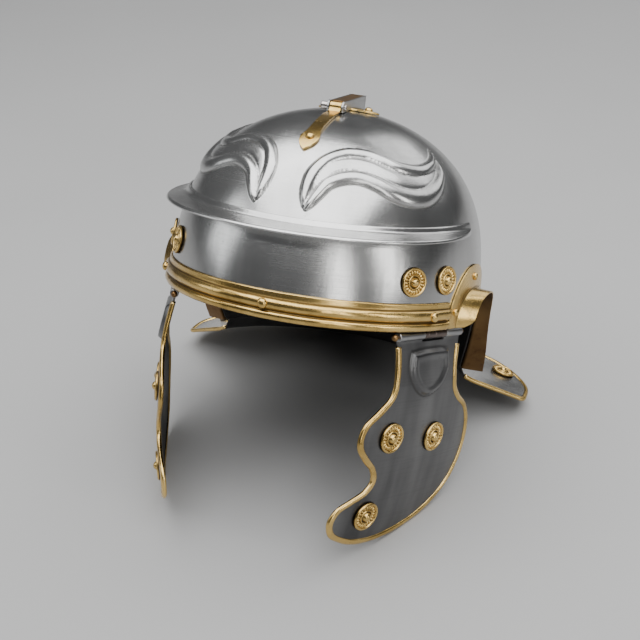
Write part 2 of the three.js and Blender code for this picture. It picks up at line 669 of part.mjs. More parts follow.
const root = new THREE.Group();
root.name = "roman_legionary_helmet";
root.add(helmet);
root.updateMatrixWorld(true);
const extent = new THREE.Box3().setFromObject(root, true);
const centre = extent.getCenter(V(0, 0, 0));
root.children[0].position.set(-centre.x, -centre.y, -extent.min.z);

export default root;
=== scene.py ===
import json
import math

import bpy
import numpy as np
from mathutils import Matrix, Vector


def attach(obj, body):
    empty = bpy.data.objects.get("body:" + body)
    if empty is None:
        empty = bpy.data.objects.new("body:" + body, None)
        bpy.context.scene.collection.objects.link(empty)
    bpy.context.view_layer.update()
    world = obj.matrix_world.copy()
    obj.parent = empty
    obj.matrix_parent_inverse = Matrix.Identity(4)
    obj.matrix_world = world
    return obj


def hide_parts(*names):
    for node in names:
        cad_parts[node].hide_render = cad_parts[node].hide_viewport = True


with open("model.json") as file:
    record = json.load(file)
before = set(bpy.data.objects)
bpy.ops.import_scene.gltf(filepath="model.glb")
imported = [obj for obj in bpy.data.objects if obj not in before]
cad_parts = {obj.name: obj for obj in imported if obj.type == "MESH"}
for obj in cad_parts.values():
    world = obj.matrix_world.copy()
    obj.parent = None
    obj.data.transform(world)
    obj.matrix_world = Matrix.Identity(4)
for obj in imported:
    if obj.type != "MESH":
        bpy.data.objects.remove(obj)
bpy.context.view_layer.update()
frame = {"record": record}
rng = np.random.default_rng(7)

# helmet drawing to frame
# Shapes are drawn in millimetres with the rim level, then tipped back onto the floor.
joints = {joint["name"]: joint for joint in frame["record"]["behaviour"]["joints"]}
leftHinge = joints["cheek_left_hinge"]
tip = math.atan2(leftHinge["axis"][2], -leftHinge["axis"][1])
hinge = {
    "x": 74.1, "y": -79.3, "z": -3.4, "toe": math.radians(23.6), "hang": math.radians(3.5),
    "length": 63.6, "radius": 2.9, "leafStart": 25.2, "leafEnd": 46.7,
}


def tipped(p):
    y = p[..., 1] * math.cos(tip) + p[..., 2] * math.sin(tip)
    z = p[..., 2] * math.cos(tip) - p[..., 1] * math.sin(tip)
    return np.stack([p[..., 0], y, z], -1)


hingeMiddle = np.array([
    hinge["x"] + hinge["length"] / 2 * math.sin(hinge["toe"]),
    hinge["y"] + hinge["length"] / 2 * math.cos(hinge["toe"]),
    hinge["z"],
])
shift = np.array(leftHinge["pos_m"]) * 1000 - tipped(hingeMiddle)


def toFrame(p):
    return (tipped(np.asarray(p, float)) + shift) / 1000


def unit(v):
    return v / np.maximum(np.linalg.norm(v, axis=-1, keepdims=True), 1e-12)


def smooth(x, low, high):
    t = np.clip((x - low) / (high - low), 0, 1)
    return t * t * (3 - 2 * t)


def spline(points, count):
    # Catmull-Rom through the points, evenly stepped along its length
    p = np.array(points, float)
    p = np.vstack([2 * p[0] - p[1], p, 2 * p[-1] - p[-2]])
    out = []
    for i in range(1, len(p) - 2):
        t = np.linspace(0, 1, 24, endpoint=False)[:, None]
        a, b, c, d = p[i - 1], p[i], p[i + 1], p[i + 2]
        out.append(0.5 * (2 * b + (c - a) * t + (2 * a - 5 * b + 4 * c - d) * t**2
                          + (3 * b - a - 3 * c + d) * t**3))
    line = np.vstack([*out, p[-2:-1]])
    along = np.concatenate([[0], np.cumsum(np.linalg.norm(np.diff(line, axis=0), axis=1))])
    steps = np.linspace(0, along[-1], count)
    return np.stack([np.interp(steps, along, line[:, k]) for k in range(line.shape[1])], -1)


def sampled(line, t):
    # points on an evenly stepped line at t from 0 to 1
    at = np.linspace(0, 1, len(line))
    return np.stack([np.interp(t, at, line[:, k]) for k in range(line.shape[1])], -1)


# making pieces
def activate(obj):
    bpy.ops.object.select_all(action="DESELECT")
    obj.select_set(True)
    bpy.context.view_layer.objects.active = obj


def setVerts(obj, points):
    obj.data.vertices.foreach_set("co", np.asarray(points, np.float32).ravel())
    obj.data.update()


def getVerts(obj):
    co = np.empty(len(obj.data.vertices) * 3, np.float32)
    obj.data.vertices.foreach_get("co", co)
    return co.reshape(-1, 3).astype(float)


def edited(obj, *steps):
    # each step is a mesh operator and its settings, run on the whole piece
    activate(obj)
    bpy.ops.object.mode_set(mode="EDIT")
    bpy.ops.mesh.select_all(action="SELECT")
    for operator, settings in steps:
        operator(**settings)
    bpy.ops.object.mode_set(mode="OBJECT")
    return obj


def cleaned(obj, distance=2e-6):
    edited(obj, (bpy.ops.mesh.remove_doubles, {"threshold": distance}),
           (bpy.ops.mesh.dissolve_degenerate, {"threshold": distance}),
           (bpy.ops.mesh.normals_make_consistent, {"inside": False}))
    bpy.ops.object.shade_smooth()
    return obj


def gridPiece(name, countU, countV, place, size=(0.1, 0.1), cavity=None):
    # a flat grid whose points are moved to place(u, v); size scales its UV map to metres,
    # and cavity(u, v) marks creases, painted darker as shade and grime
    bpy.ops.object.select_all(action="DESELECT")
    bpy.ops.mesh.primitive_grid_add(x_subdivisions=countU, y_subdivisions=countV, size=2)
    obj = bpy.context.object
    obj.name = name
    co = getVerts(obj)
    u, v = (co[:, 0] + 1) / 2, (co[:, 1] + 1) / 2
    setVerts(obj, place(u, v))
    if cavity:
        marks = obj.data.attributes.new("cavity", "FLOAT", "POINT")
        marks.data.foreach_set("value", cavity(u, v).astype(np.float32))
    layer = obj.data.uv_layers.active
    uv = np.empty(len(layer.data) * 2, np.float32)
    layer.data.foreach_get("uv", uv)
    uv = uv.reshape(-1, 2) * np.array(size, np.float32)
    layer.data.foreach_set("uv", uv.ravel())
    return obj


def modified(obj, kind, **settings):
    activate(obj)
    bpy.ops.object.modifier_add(type=kind)
    modifier = obj.modifiers[-1]
    for key, value in settings.items():
        setattr(modifier, key, value)
    bpy.ops.object.modifier_apply(modifier=modifier.name)
    return obj


def sheeted(obj, thickness, side, bevel=0.0003, segments=2, **settings):
    # give a surface the thickness of its sheet in mm, with eased edges
    modified(obj, "SOLIDIFY", thickness=thickness / 1000, offset=side, **settings)
    return modified(obj, "BEVEL", width=bevel, segments=segments, limit_method="ANGLE")


def mirrored(obj, name):
    activate(obj)
    bpy.ops.object.duplicate()
    twin = bpy.context.object
    twin.name = name
    setVerts(twin, getVerts(obj) * np.array([-1, 1, 1]))
    return edited(twin, (bpy.ops.mesh.flip_normals, {}))


def painted(obj, *materials):
    for material in materials:
        obj.data.materials.append(material)
    return obj


def facing(obj, test):
    # flip the piece unless its normals mostly agree with the direction test(centre) gives
    total = sum(Vector(test(face.center)).dot(face.normal) * face.area
                for face in obj.data.polygons)
    return edited(obj, (bpy.ops.mesh.flip_normals, {})) if total < 0 else obj


def joined(obj, *others):
    activate(obj)
    for other in others:
        other.select_set(True)
    bpy.ops.object.join()
    return obj


def dressed(obj, material, body, nodes=()):
    if material:
        obj.data.materials.clear()
        obj.data.materials.append(material)
    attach(obj, body)
    if nodes:
        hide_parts(*nodes)
    return obj


def bothSides(left, material, node, moving=False):
    # dress the left-hand piece and its mirror image
    right = mirrored(left, left.name.replace("Left", "Right"))
    for piece, side in ((left, "left"), (right, "right")):
        body = f"cheek_{side}" if moving else "shell"
        dressed(piece, material, body, [f"{node}_{side}"])


def sweep(name, steps, around, path, section, length, girth, cavity=None):
    # section(t, a) gives two offsets; path(t, off1, off2) gives points; ends close to a point
    def place(u, v):
        k = np.round(u * steps)
        t = np.clip((k - 1) / (steps - 2), 0, 1)
        full = ((k > 0) & (k < steps)).astype(float)
        one, two = section(t, v * 2 * math.pi)
        middle = section(t, np.zeros_like(v)), section(t, np.full_like(v, math.pi))
        mid1 = (middle[0][0] + middle[1][0]) / 2
        mid2 = (middle[0][1] + middle[1][1]) / 2
        return toFrame(path(t, mid1 + (one - mid1) * full, mid2 + (two - mid2) * full))

    return cleaned(gridPiece(name, steps, around, place, (length, girth), cavity))


# shader nodes
class Value:
    def __init__(self, tree, socket):
        self.tree = tree
        self.socket = socket

    def op(self, operation, *others, clamp=False):
        node = self.tree.nodes.new("ShaderNodeMath")
        node.operation = operation
        node.use_clamp = clamp
        for slot, item in zip(node.inputs, (self, *others)):
            if isinstance(item, Value):
                self.tree.links.new(item.socket, slot)
            else:
                slot.default_value = item
        return Value(self.tree, node.outputs[0])

    def constant(self, number):
        node = self.tree.nodes.new("ShaderNodeValue")
        node.outputs[0].default_value = number
        return Value(self.tree, node.outputs[0])

    def __add__(self, other):
        return self.op("ADD", other)

    def __mul__(self, other):
        return self.op("MULTIPLY", other)

    def __sub__(self, other):
        return self.op("SUBTRACT", other)

    def __truediv__(self, other):
        return self.op("DIVIDE", other)

    def __rsub__(self, other):
        return self.constant(other).op("SUBTRACT", self)

    __radd__ = __add__
    __rmul__ = __mul__

    def between(self, low, high, toLow=0.0, toHigh=1.0):
        node = self.tree.nodes.new("ShaderNodeMapRange")
        node.clamp = True
        self.tree.links.new(self.socket, node.inputs["Value"])
        numbers = {"From Min": low, "From Max": high, "To Min": toLow, "To Max": toHigh}
        for key, number in numbers.items():
            node.inputs[key].default_value = number
        return Value(self.tree, node.outputs[0])


class Paint:
    def __init__(self, name):
        self.material = bpy.data.materials.new(name)
        self.material.use_nodes = True
        self.tree = self.material.node_tree
        self.tree.nodes.clear()
        self.output = self.add("ShaderNodeOutputMaterial")

    def add(self, kind, settings=None, **inputs):
        node = self.tree.nodes.new(kind)
        for key, value in (settings or {}).items():
            setattr(node, key, value)
        for key, value in inputs.items():
            self.feed(node.inputs[key.replace("_", " ")], value)
        return node

    def feed(self, socket, value):
        if isinstance(value, Value):
            self.tree.links.new(value.socket, socket)
        elif isinstance(value, bpy.types.NodeSocket):
            self.tree.links.new(value, socket)
        else:
            socket.default_value = value

    def value(self, socket):
        return Value(self.tree, socket)

    def place(self, source="Object", scale=(1, 1, 1)):
        # object coordinates are first turned level with the rim, then stretched
        spot = self.add("ShaderNodeTexCoord").outputs[source]
        if source == "Object":
            turned = self.add("ShaderNodeMapping", Vector=spot)
            turned.inputs["Rotation"].default_value = (tip, 0, 0)
            spot = turned.outputs[0]
        mapping = self.add("ShaderNodeMapping", Vector=spot)
        mapping.inputs["Scale"].default_value = scale
        return mapping.outputs[0]

    # the crease mark, used to paint shade into creases
    def cavity(self):
        return self.value(self.add("ShaderNodeAttribute", {"attribute_name": "cavity"}).outputs[2])

    def noise(self, scale, detail=3.0, roughness=0.5, source="Object", stretch=(1, 1, 1)):
        node = self.add(
            "ShaderNodeTexNoise", Vector=self.place(source, stretch),
            Scale=scale, Detail=detail, Roughness=roughness,
        )
        return self.value(node.outputs["Fac"])

    def mix(self, factor, one, two):
        node = self.add("ShaderNodeMix", {"data_type": "RGBA"})
        self.feed(node.inputs[0], factor)
        for socket, colour in ((node.inputs[6], one), (node.inputs[7], two)):
            if isinstance(colour, tuple):
                socket.default_value = (*colour, 1)
            else:
                self.feed(socket, colour)
        return node.outputs[2]

    def bump(self, height, strength, distance, normal=None):
        node = self.add("ShaderNodeBump", Height=height, Strength=strength, Distance=distance)
        if normal is not None:
            self.feed(node.inputs["Normal"], normal)
        return node.outputs[0]

    def edges(self, low=0.5, high=0.56):
        geometry = self.add("ShaderNodeNewGeometry")
        return self.value(geometry.outputs["Pointiness"]).between(low, high)

    def finish(self, colour, roughness, normal, metallic=1.0, **constants):
        shader = self.add("ShaderNodeBsdfPrincipled")
        self.feed(shader.inputs["Base Color"], colour)
        self.feed(shader.inputs["Roughness"], roughness)
        self.feed(shader.inputs["Metallic"], metallic)
        self.feed(shader.inputs["Normal"], normal)
        for key, value in constants.items():
            shader.inputs[key.replace("_", " ")].default_value = value
        self.tree.links.new(shader.outputs[0], self.output.inputs[0])
        return self.material


# the grime colour also serves as painted shade in creases, and the edge colour paints highlights on
# sharp edges as well as wear
steelLook = {
    "light": (0.56, 0.56, 0.555), "dark": (0.39, 0.39, 0.385), "stainAndShade": (0.1, 0.097, 0.09),
    "wearAndHighlight": (0.86, 0.86, 0.85), "roughness": (0.19, 0.29), "brush": 0.00005, "wave": 0.0005,
}
satinLook = {
    **steelLook, "light": (0.19, 0.19, 0.19), "dark": (0.07, 0.07, 0.072),
    "stainAndShade": (0.045, 0.043, 0.04), "wearAndHighlight": (0.5, 0.5, 0.5), "roughness": (0.27, 0.38),
    "brush": 0.00003, "wave": 0.0006,
}


def steelPaint(name, look):
    paint = Paint(name)
    cloud = paint.noise(11, 3, 0.55)
    patches = paint.noise(1, 3, 0.55, stretch=(38, 38, 5))
    brush = paint.noise(1, 4, 0.65, stretch=(16, 16, 1300))
    scratches = paint.noise(1, 3, 0.6, stretch=(700, 24, 60))
    spots = paint.noise(210, 5, 0.7)
    tone = (cloud * 0.45 + patches * 0.55).between(0.36, 0.62)
    colour = paint.mix(tone, look["dark"], look["light"])
    colour = paint.mix(brush.between(0.5, 0.72) * 0.2, colour, look["dark"])
    grime = spots.between(0.56, 0.78) * patches.between(0.35, 0.6) * 0.25
    # random grime spots, and painted shade darkening the marked creases
    dirtAndShade = grime.op("MAXIMUM", paint.cavity() * cloud.between(0.2, 0.5, 0.7, 1.0) * 0.9)
    colour = paint.mix(dirtAndShade, colour, look["stainAndShade"])
    # sharp edges lightened: partly wear, partly a painted highlight
    colour = paint.mix(paint.edges(0.54, 0.64) * 0.3, colour, look["wearAndHighlight"])
    low, high = look["roughness"]
    roughness = (cloud * 0.6 + brush * 0.4).between(0.3, 0.7, low, high) + dirtAndShade * 0.22
    normal = paint.bump(patches * 0.6 + cloud * 0.4, 1.0, look["wave"])
    normal = paint.bump(brush * 0.7 + scratches * 0.3, 1.0, look["brush"], normal)
    return paint.finish(colour, roughness, normal)


steel = steelPaint("polished steel", steelLook)
satinSteel = steelPaint("satin steel", satinLook)
pinSteel = steelPaint("pin steel", {
    **steelLook, "light": (0.6, 0.56, 0.54), "dark": (0.42, 0.39, 0.375),
})
# a lighter satin for the hinge knuckles and crest sides: partly wear, partly a painted highlight
rubbedHighlightSteel = steelPaint("rubbed steel with painted highlight", {
    **satinLook, "light": (0.42, 0.42, 0.42), "dark": (0.22, 0.22, 0.22),
})
leafSteel = steelPaint("browned steel", {
    **satinLook, "light": (0.17, 0.135, 0.12), "dark": (0.09, 0.07, 0.062),
})

# the grime colour also serves as painted shade in creases and hollows, and the edge colour paints
# highlights on sharp edges as well as wear
brassLook = {
    "light": (0.76, 0.53, 0.19), "dark": (0.48, 0.32, 0.1), "dirtAndShade": (0.06, 0.034, 0.012),
    "wearAndHighlight": (0.96, 0.8, 0.46), "roughness": (0.18, 0.3), "wave": 0.0005,
}
innerBrassLook = {
    "light": (0.26, 0.155, 0.065), "dark": (0.13, 0.07, 0.03), "dirtAndShade": (0.03, 0.018, 0.01),
    "wearAndHighlight": (0.4, 0.27, 0.13), "roughness": (0.3, 0.46), "wave": 0.0006,
}


def brassPaint(name, look):
    paint = Paint(name)
    cloud = paint.noise(24, 3, 0.55)
    fine = paint.noise(330, 4, 0.65)
    lines = paint.noise(1, 3, 0.6, "UV", (45, 1500, 1))
    colour = paint.mix(cloud.between(0.38, 0.64), look["dark"], look["light"])
    tarnish = fine.between(0.52, 0.72) * cloud.between(0.62, 0.36) * 0.5
    # random tarnish, and painted shade darkening the marked creases and hollow corners
    dirtAndShade = tarnish.op("MAXIMUM", paint.cavity() * 0.94)
    dirtAndShade = dirtAndShade.op("MAXIMUM", paint.edges(0.49, 0.42) * 0.7)
    colour = paint.mix(dirtAndShade, colour, look["dirtAndShade"])
    # sharp edges lightened: partly wear, partly a painted highlight
    colour = paint.mix(paint.edges(0.54, 0.64) * 0.35, colour, look["wearAndHighlight"])
    low, high = look["roughness"]
    roughness = (cloud * 0.6 + lines * 0.4).between(0.35, 0.65, low, high) + dirtAndShade * 0.25
    normal = paint.bump(cloud, 1.0, look["wave"])
    normal = paint.bump(lines * 0.6 + fine * 0.4, 1.0, 0.00005, normal)
    return paint.finish(colour, roughness, normal)


brass = brassPaint("aged brass", brassLook)
innerBrass = brassPaint("dark brass", innerBrassLook)


# near-black for the inside faces, painted shade inside the helmet
def blackPaint():
    paint = Paint("shade-black inside steel")
    cloud = paint.noise(30, 5, 0.65)
    fine = paint.noise(600, 3, 0.6)
    colour = paint.mix(cloud.between(0.35, 0.65), (0.016, 0.0155, 0.015), (0.045, 0.043, 0.042))
    roughness = (cloud * 0.7 + fine * 0.3).between(0.35, 0.65, 0.42, 0.62)
    normal = paint.bump(cloud * 0.5 + fine * 0.1, 1.0, 0.0008)
    return paint.finish(colour, roughness, normal, 0.6)


shadeBlack = blackPaint()
print("materials made")

# bowl and neck guard
bowl = {
    "halfWidth": 102, "front": 115.1, "back": 117.8, "height": 124.3, "rise": 2.95,
    "spread": 1.97, "wall": 1.4, "neckZ": -42, "flareZ": -50, "neckDeg": 119.5,
    "windowFrontDeg": 72.9, "windowBackDeg": 117.4,
}
earArch = spline([
    [-33, 0.3], [-32.5, 9], [-27, 18], [-16, 22.8], [-3, 23.5], [9, 20.5], [19, 13],
    [27.5, 2], [35, -11], [42, -23], [48.5, -34], [54, -44],
], 400)
trailing = spline([
    [134, 92, -66.3], [132.5, 109.5, -61.8], [119.5, 124.5, -56.3], [98, 137.5, -51.2],
    [65, 151, -48.5], [33, 163, -47.5], [0, 168, -47],
], 400)


def spread(z):
    share = np.clip(np.asarray(z, float) / bowl["height"], 0, 1)
    return np.clip(1 - share ** bowl["rise"], 0, 1) ** (1 / bowl["spread"])


def onBowl(deg, z, reach=0.0):
    a = np.radians(deg)
    length = np.where(np.cos(a) > 0, bowl["front"], bowl["back"])
    across = bowl["halfWidth"] * np.sin(a)
    along = -length * np.cos(a)
    out = np.stack([across / bowl["halfWidth"] ** 2, along / length**2, 0 * a], -1)
    base = np.stack([across * spread(z), along * spread(z), z + 0 * a], -1)
    return base + unit(out) * np.asarray(reach + 0 * a)[..., None]


def bowlNormal(deg, z):
    turn = onBowl(deg + 0.05, z) - onBowl(deg - 0.05, z)
    rise = onBowl(deg, z + 0.05) - onBowl(deg, z - 0.05)
    return unit(np.cross(turn, rise))


def topOfBowl(x, y):
    away = np.hypot(x / bowl["halfWidth"], y / np.where(y < 0, bowl["front"], bowl["back"]))
    return bowl["height"] * (1 - away ** bowl["spread"]) ** (1 / bowl["rise"])


# Each eyebrow ridge as angle, height, half width in mm along its middle line.
eyebrows = {
    "height": [2.8, 1.7, 3.3], "fold": [2, 4, 2], "wide": [1.0, 1.5, 1.04],
    "shift": {"left": 0.6, "right": 2.2},
    "ridges": [
        [[8.4, 68, 1.2], [7.9, 74, 3], [8, 82, 4], [9.6, 89, 4.2], [14, 95.6, 4], [21.7, 99.7, 4.1],
         [31.2, 100.2, 4.2], [40, 97.8, 4.6], [47.6, 94.8, 4.8], [57.6, 94, 4.6],
         [66.5, 96.8, 3.6], [72.5, 100.2, 2.5], [77, 104, 1.4], [80, 107, 0.3]],
        [[10.2, 75, 0.4], [11.8, 83.2, 1.7], [16.2, 90.6, 2.8], [23.5, 93.9, 3.4], [32, 93.6, 3.8],
         [40, 90.2, 4], [47.2, 87.4, 3.9], [55, 87.2, 3.4], [62.5, 90.2, 2.4], [69, 94.4, 1.4],
         [73, 98, 0.4]],
        [[9.4, 66.5, 1.2], [10.6, 70, 2.6], [12.6, 75.3, 3.4], [15.8, 82, 4], [21.6, 86.1, 4.5],
         [28.2, 87.1, 4.8], [35, 85, 5.2], [42, 81, 5.6], [48.8, 78.9, 5.9], [56, 79.5, 5.9],
         [63.3, 84, 5.2], [69, 89.6, 4], [73.2, 95.4, 2.4], [76.2, 101, 0.4]],
    ],
}


def eyebrowLift(deg, z):
    # height of the embossing at a place on the bowl and how deep in a crease it lies
    turned = np.where(deg > 180, deg - 360, deg)
    swing = eyebrows["shift"]
    side = np.where(turned < 0, -turned - swing["right"], turned + swing["left"])
    lift, crease = np.zeros_like(side), np.zeros_like(side)
    near = np.nonzero((side > 0) & (side < 86) & (z > 60) & (z < 112))[0]
    here = onBowl(side[near], z[near])
    rises, shares = [], []
    for height, ridge, power, wide in zip(eyebrows["height"], eyebrows["ridges"],
                                          eyebrows["fold"], eyebrows["wide"]):
        line = spline(ridge, 150)
        middle = onBowl(line[:, 0], line[:, 1])
        share, widths = np.empty(len(near)), np.empty(len(near))
        for start in range(0, len(near), 4000):
            block = slice(start, start + 4000)
            gaps = np.linalg.norm(here[block, None] - middle[None], axis=2)
            nearest = (gaps / line[None, :, 2]).argmin(1)
            widths[block] = line[nearest, 2]
            share[block] = gaps[np.arange(len(nearest)), nearest] / widths[block]
        grown = height * np.minimum(1, (widths / 3.2) ** 0.8)
        rises.append(grown * np.clip(1 - (share / wide) ** power, 0, 1) ** 0.72)
        shares.append(share / wide)
    rises, shares = np.array(rises), np.array(shares)
    order = np.sort(rises, axis=0)
    lift[near] = order[-1]
    # the crease mark covers the grooves between folds and the outer edges of the top and bottom
    # folds, painted darker as shade
    between = np.clip(1 - (order[-1] - order[-2]) / 0.4, 0, 1) * (order[-2] > 0.25)
    rim = np.exp(-((shares[[0, 2]].min(0) - 1.03) / 0.09) ** 2) * (order[-1] < 0.8)
    crease[near] = np.maximum(between, rim)
    return lift, crease


def lowerEdge(deg):
    side = np.abs(np.where(deg > 180, deg - 360, deg))
    a = np.radians(side)
    y = -np.where(np.cos(a) > 0, bowl["front"], bowl["back"]) * np.cos(a)
    arch = np.interp(y, earArch[:, 0], earArch[:, 1])
    low = np.where(side < bowl["windowFrontDeg"], 0.0, arch)
    past = smooth(side, bowl["windowBackDeg"], bowl["neckDeg"])
    return np.where(side > bowl["windowBackDeg"], -44 + past * (bowl["neckZ"] + 44), low)


def onGuard(across, out, lift=0.0):
    # across 0 to 2 from the left side of the neck round to the right, out 0 to 1 to the edge
    half = np.where(across > 1, 2 - across, across)
    side = np.where(across > 1, -1, 1)
    root = onBowl(bowl["neckDeg"] + (180 - bowl["neckDeg"]) * half, bowl["flareZ"] + 0 * half)
    edge = sampled(trailing, half)
    point = root + (edge - root) * out[..., None]
    flare = (1 - smooth(out, 0, 0.17)) ** 2 * (bowl["neckZ"] - bowl["flareZ"])
    point[..., 2] = bowl["flareZ"] + (edge[..., 2] - bowl["flareZ"]) * out + flare + lift
    point[..., 0] *= side
    return point


# How finely the bowl is cut: finest over the eyebrows, between browTop and browBottom.
bowlRings = {
    "wall": 36, "guard": 30, "brow": 88, "browTop": 112, "browBottom": 62, "crown": 27,
    "frontDeg": 84, "front": 374, "side": 26, "neck": 121,
}
frontDeg, sideCount = bowlRings["frontDeg"], bowlRings["side"]
neckSpan = np.linspace(bowl["neckDeg"], 360 - bowl["neckDeg"], bowlRings["neck"])
columns = np.concatenate([
    np.linspace(-frontDeg, frontDeg, bowlRings["front"]),
    np.linspace(frontDeg, bowl["neckDeg"], sideCount)[1:],
    neckSpan[1:], np.linspace(360 - bowl["neckDeg"], 360 - frontDeg, sideCount)[1:],
])
crownSwing = np.radians(np.linspace(90, 47, bowlRings["crown"]))
crownTop = bowl["height"] * np.sin(crownSwing) ** (2 / bowl["rise"])
crownZ = np.concatenate([
    crownTop[crownTop > bowlRings["browTop"] + 0.3],
    np.linspace(bowlRings["browTop"], bowlRings["browBottom"], bowlRings["brow"]),
])
bowlRows = len(crownZ) - 1 + bowlRings["wall"]


def bowlSpot(u, v):
    deg = np.interp(u * (len(columns) - 1), np.arange(len(columns)), columns)
    k = v * bowlRows
    crownRows = bowlRows - bowlRings["wall"]
    z = np.interp(np.clip(k / crownRows, 0, 1), np.linspace(0, 1, len(crownZ)), crownZ)
    down = np.clip((k - crownRows) / bowlRings["wall"], 0, 1)
    start = bowlRings["browBottom"]
    return deg, np.where(k > crownRows, start + (lowerEdge(deg) - start) * down, z)


def bowlPlace(u, v):
    deg, z = bowlSpot(u, v)
    normal = bowlNormal(deg, np.minimum(z, bowl["height"] * 0.9999))
    return toFrame(onBowl(deg, z) + normal * eyebrowLift(deg, z)[0][:, None])


def upOrOut(centre):
    return centre - Vector(toFrame(np.array([0, 0, 0.0])))


bowlOuter = gridPiece("bowlOuter", len(columns) - 1, bowlRows, bowlPlace, (0.7, 0.25),
                      lambda u, v: eyebrowLift(*bowlSpot(u, v))[1])
guardOuter = gridPiece("guardOuter", len(neckSpan) - 1, bowlRings["guard"],
                       lambda u, v: toFrame(onGuard(2 * u, v**1.6)), (0.4, 0.06))
cleaned(joined(bowlOuter, guardOuter), 2e-5)
facing(bowlOuter, upOrOut)
print("bowl outside", len(bowlOuter.data.polygons))
inside = {"sides": 0.73, "crown": 0.65, "turned": 0.72, "under": 0.00018}


def innerPlace(u, v):
    # the same wall without its embossing, on a coarser grid
    deg = np.interp(u, [0, inside["sides"], 1],
                    [-bowl["neckDeg"], bowl["neckDeg"], 360 - bowl["neckDeg"]])
    share = np.minimum(v / inside["crown"], 1)
    swing = (1 - share * inside["turned"]) * math.pi / 2
    z = bowl["height"] * np.sin(swing) ** (2 / bowl["rise"])
    turnZ = bowl["height"] * math.sin((1 - inside["turned"]) * math.pi / 2) ** (2 / bowl["rise"])
    down = np.clip((v - inside["crown"]) / (1 - inside["crown"]), 0, 1)
    wallZ = turnZ + (lowerEdge(deg) - turnZ) * down
    return toFrame(onBowl(deg, np.where(v > inside["crown"], wallZ, z)))


bowlInner = gridPiece("bowlInner", 220, 80, innerPlace, (0.7, 0.25))
guardInner = gridPiece("guardInner", 60, 24, lambda u, v: toFrame(onGuard(2 * u, v**1.6)),
                       (0.4, 0.06))
cleaned(joined(bowlInner, guardInner), 2e-5)
facing(bowlInner, upOrOut)
edited(bowlInner, (bpy.ops.transform.shrink_fatten, {"value": -inside["under"]}))
modified(bowlInner, "SOLIDIFY", thickness=bowl["wall"] / 1000 - 0.0002, offset=-1.0)
dressed(bowlOuter, steel, "shell", ["bowl"])
# the inside wall is near-black, painted shade
dressed(bowlInner, shadeBlack, "shell", ["bowl"])
print("bowl made")

# brow peak
peak = {
    "frontZ": 56, "endZ": 60.5, "endDeg": 81, "droop": 2.6, "endReach": 1.7, "frontReach": 18.8,
    "roundness": 2.6, "fullness": 0.85, "bend": 2, "width": 18.5,
}


def peakReach(deg):
    share = np.clip(np.abs(deg) / peak["endDeg"], 0, 1)
    fall = np.clip(1 - share ** peak["roundness"], 0, 1) ** peak["fullness"]
    return peak["endReach"] + peak["frontReach"] * fall


def aroundSection(line):
    at = np.linspace(0, 2 * math.pi, len(line))
    return lambda a: (np.interp(a, at, line[:, 0]), np.interp(a, at, line[:, 1]))


peakLine = np.array([
    [0.35, 0.1], [0.5, 0], [6, -0.1], [14, -0.1], [18.6, -0.2], [19.6, -0.25], [20.2, 0],
    [20.5, 0.5], [20.5, 1.1], [20.1, 1.6], [19.4, 1.85], [18.4, 1.75], [14, 1.6], [6, 1.6],
    [3.2, 1.7], [2.3, 2.1], [2, 2.8], [1.9, 4.2], [1.7, 4.7], [1.2, 4.9], [0.6, 4.8],
    [0.35, 4.4], [0.35, 0.1],
])
peakAround = aroundSection(peakLine)


def peakPath(t, reach, level):
    deg = -peak["endDeg"] + 2 * peak["endDeg"] * t
    bend = peak["bend"]
    share = np.clip((reach - bend) / peak["width"], 0, 1)
    full = peakReach(deg)
    reach = np.where(reach > bend, bend + share * (full - bend), reach)
    z = peak["frontZ"] + (peak["endZ"] - peak["frontZ"]) * (deg / peak["endDeg"]) ** 2
    droop = peak["droop"] * share * full / 20
    return onBowl(deg, z + level, reach) - np.stack([0 * droop, 0 * droop, droop], -1)


browPeak = sweep("browPeak", 260, len(peakLine) - 1, peakPath,
                 lambda t, a: peakAround(a), 0.4, 0.06)
dressed(browPeak, steel, "shell", ["brow_peak"])

# brow band
bandProfile = spline([
    [0.35, 0.5], [0.5, 0.3], [1.7, 0.25], [2.3, 0.7], [3.1, 2], [3.3, 3.2], [3, 4.4], [2, 5.2],
    [1.5, 5.7], [1.9, 6.2], [3, 7.4], [3.7, 8.8], [3.8, 10], [3.5, 11.4], [2.6, 12.6], [1.6, 13.3],
    [1.35, 13.9], [1.35, 16], [1.4, 16.9], [1.1, 17.3], [0.6, 17.2], [0.35, 16.9], [0.35, 9],
    [0.35, 0.5],
], 75)
bandAround = aroundSection(bandProfile)
band = {
    "endDeg": 67.5, "dents": 40, "dent": 0.09, "sway": 0.1, "rivetZ": 9.6, "rivetDeg": 59,
    "rivetLift": 3.6, "rivet": 3.1,
}
dents = rng.normal(0, 1, (2, band["dents"]))
dentAt = np.linspace(0, 1, band["dents"])


def bandPath(t, reach, level):
    deg = -band["endDeg"] + 2 * band["endDeg"] * t
    proud = np.clip((reach - 1) / 2.8, 0, 1)
    uneven = np.interp(t, dentAt, dents[0]) * band["dent"] * proud
    sway = np.interp(t, dentAt, dents[1]) * band["sway"]
    return onBowl(deg, level + sway * proud, reach + uneven)


# the band's creases, painted darker as shade
def bandCreases(u, v):
    reach, level = bandAround(v * 2 * math.pi)
    deep = smooth(reach, 2.7, 1.7) * smooth(level, 1.5, 4.5) * smooth(level, 14.5, 13.4)
    return np.clip(deep, 0, 1)


browBand = sweep("browBand", 300, len(bandProfile) - 1, bandPath, lambda t, a: bandAround(a),
                 0.27, 0.045, bandCreases)
dressed(browBand, brass, "shell", ["brow_band"])
print("peak and band made")

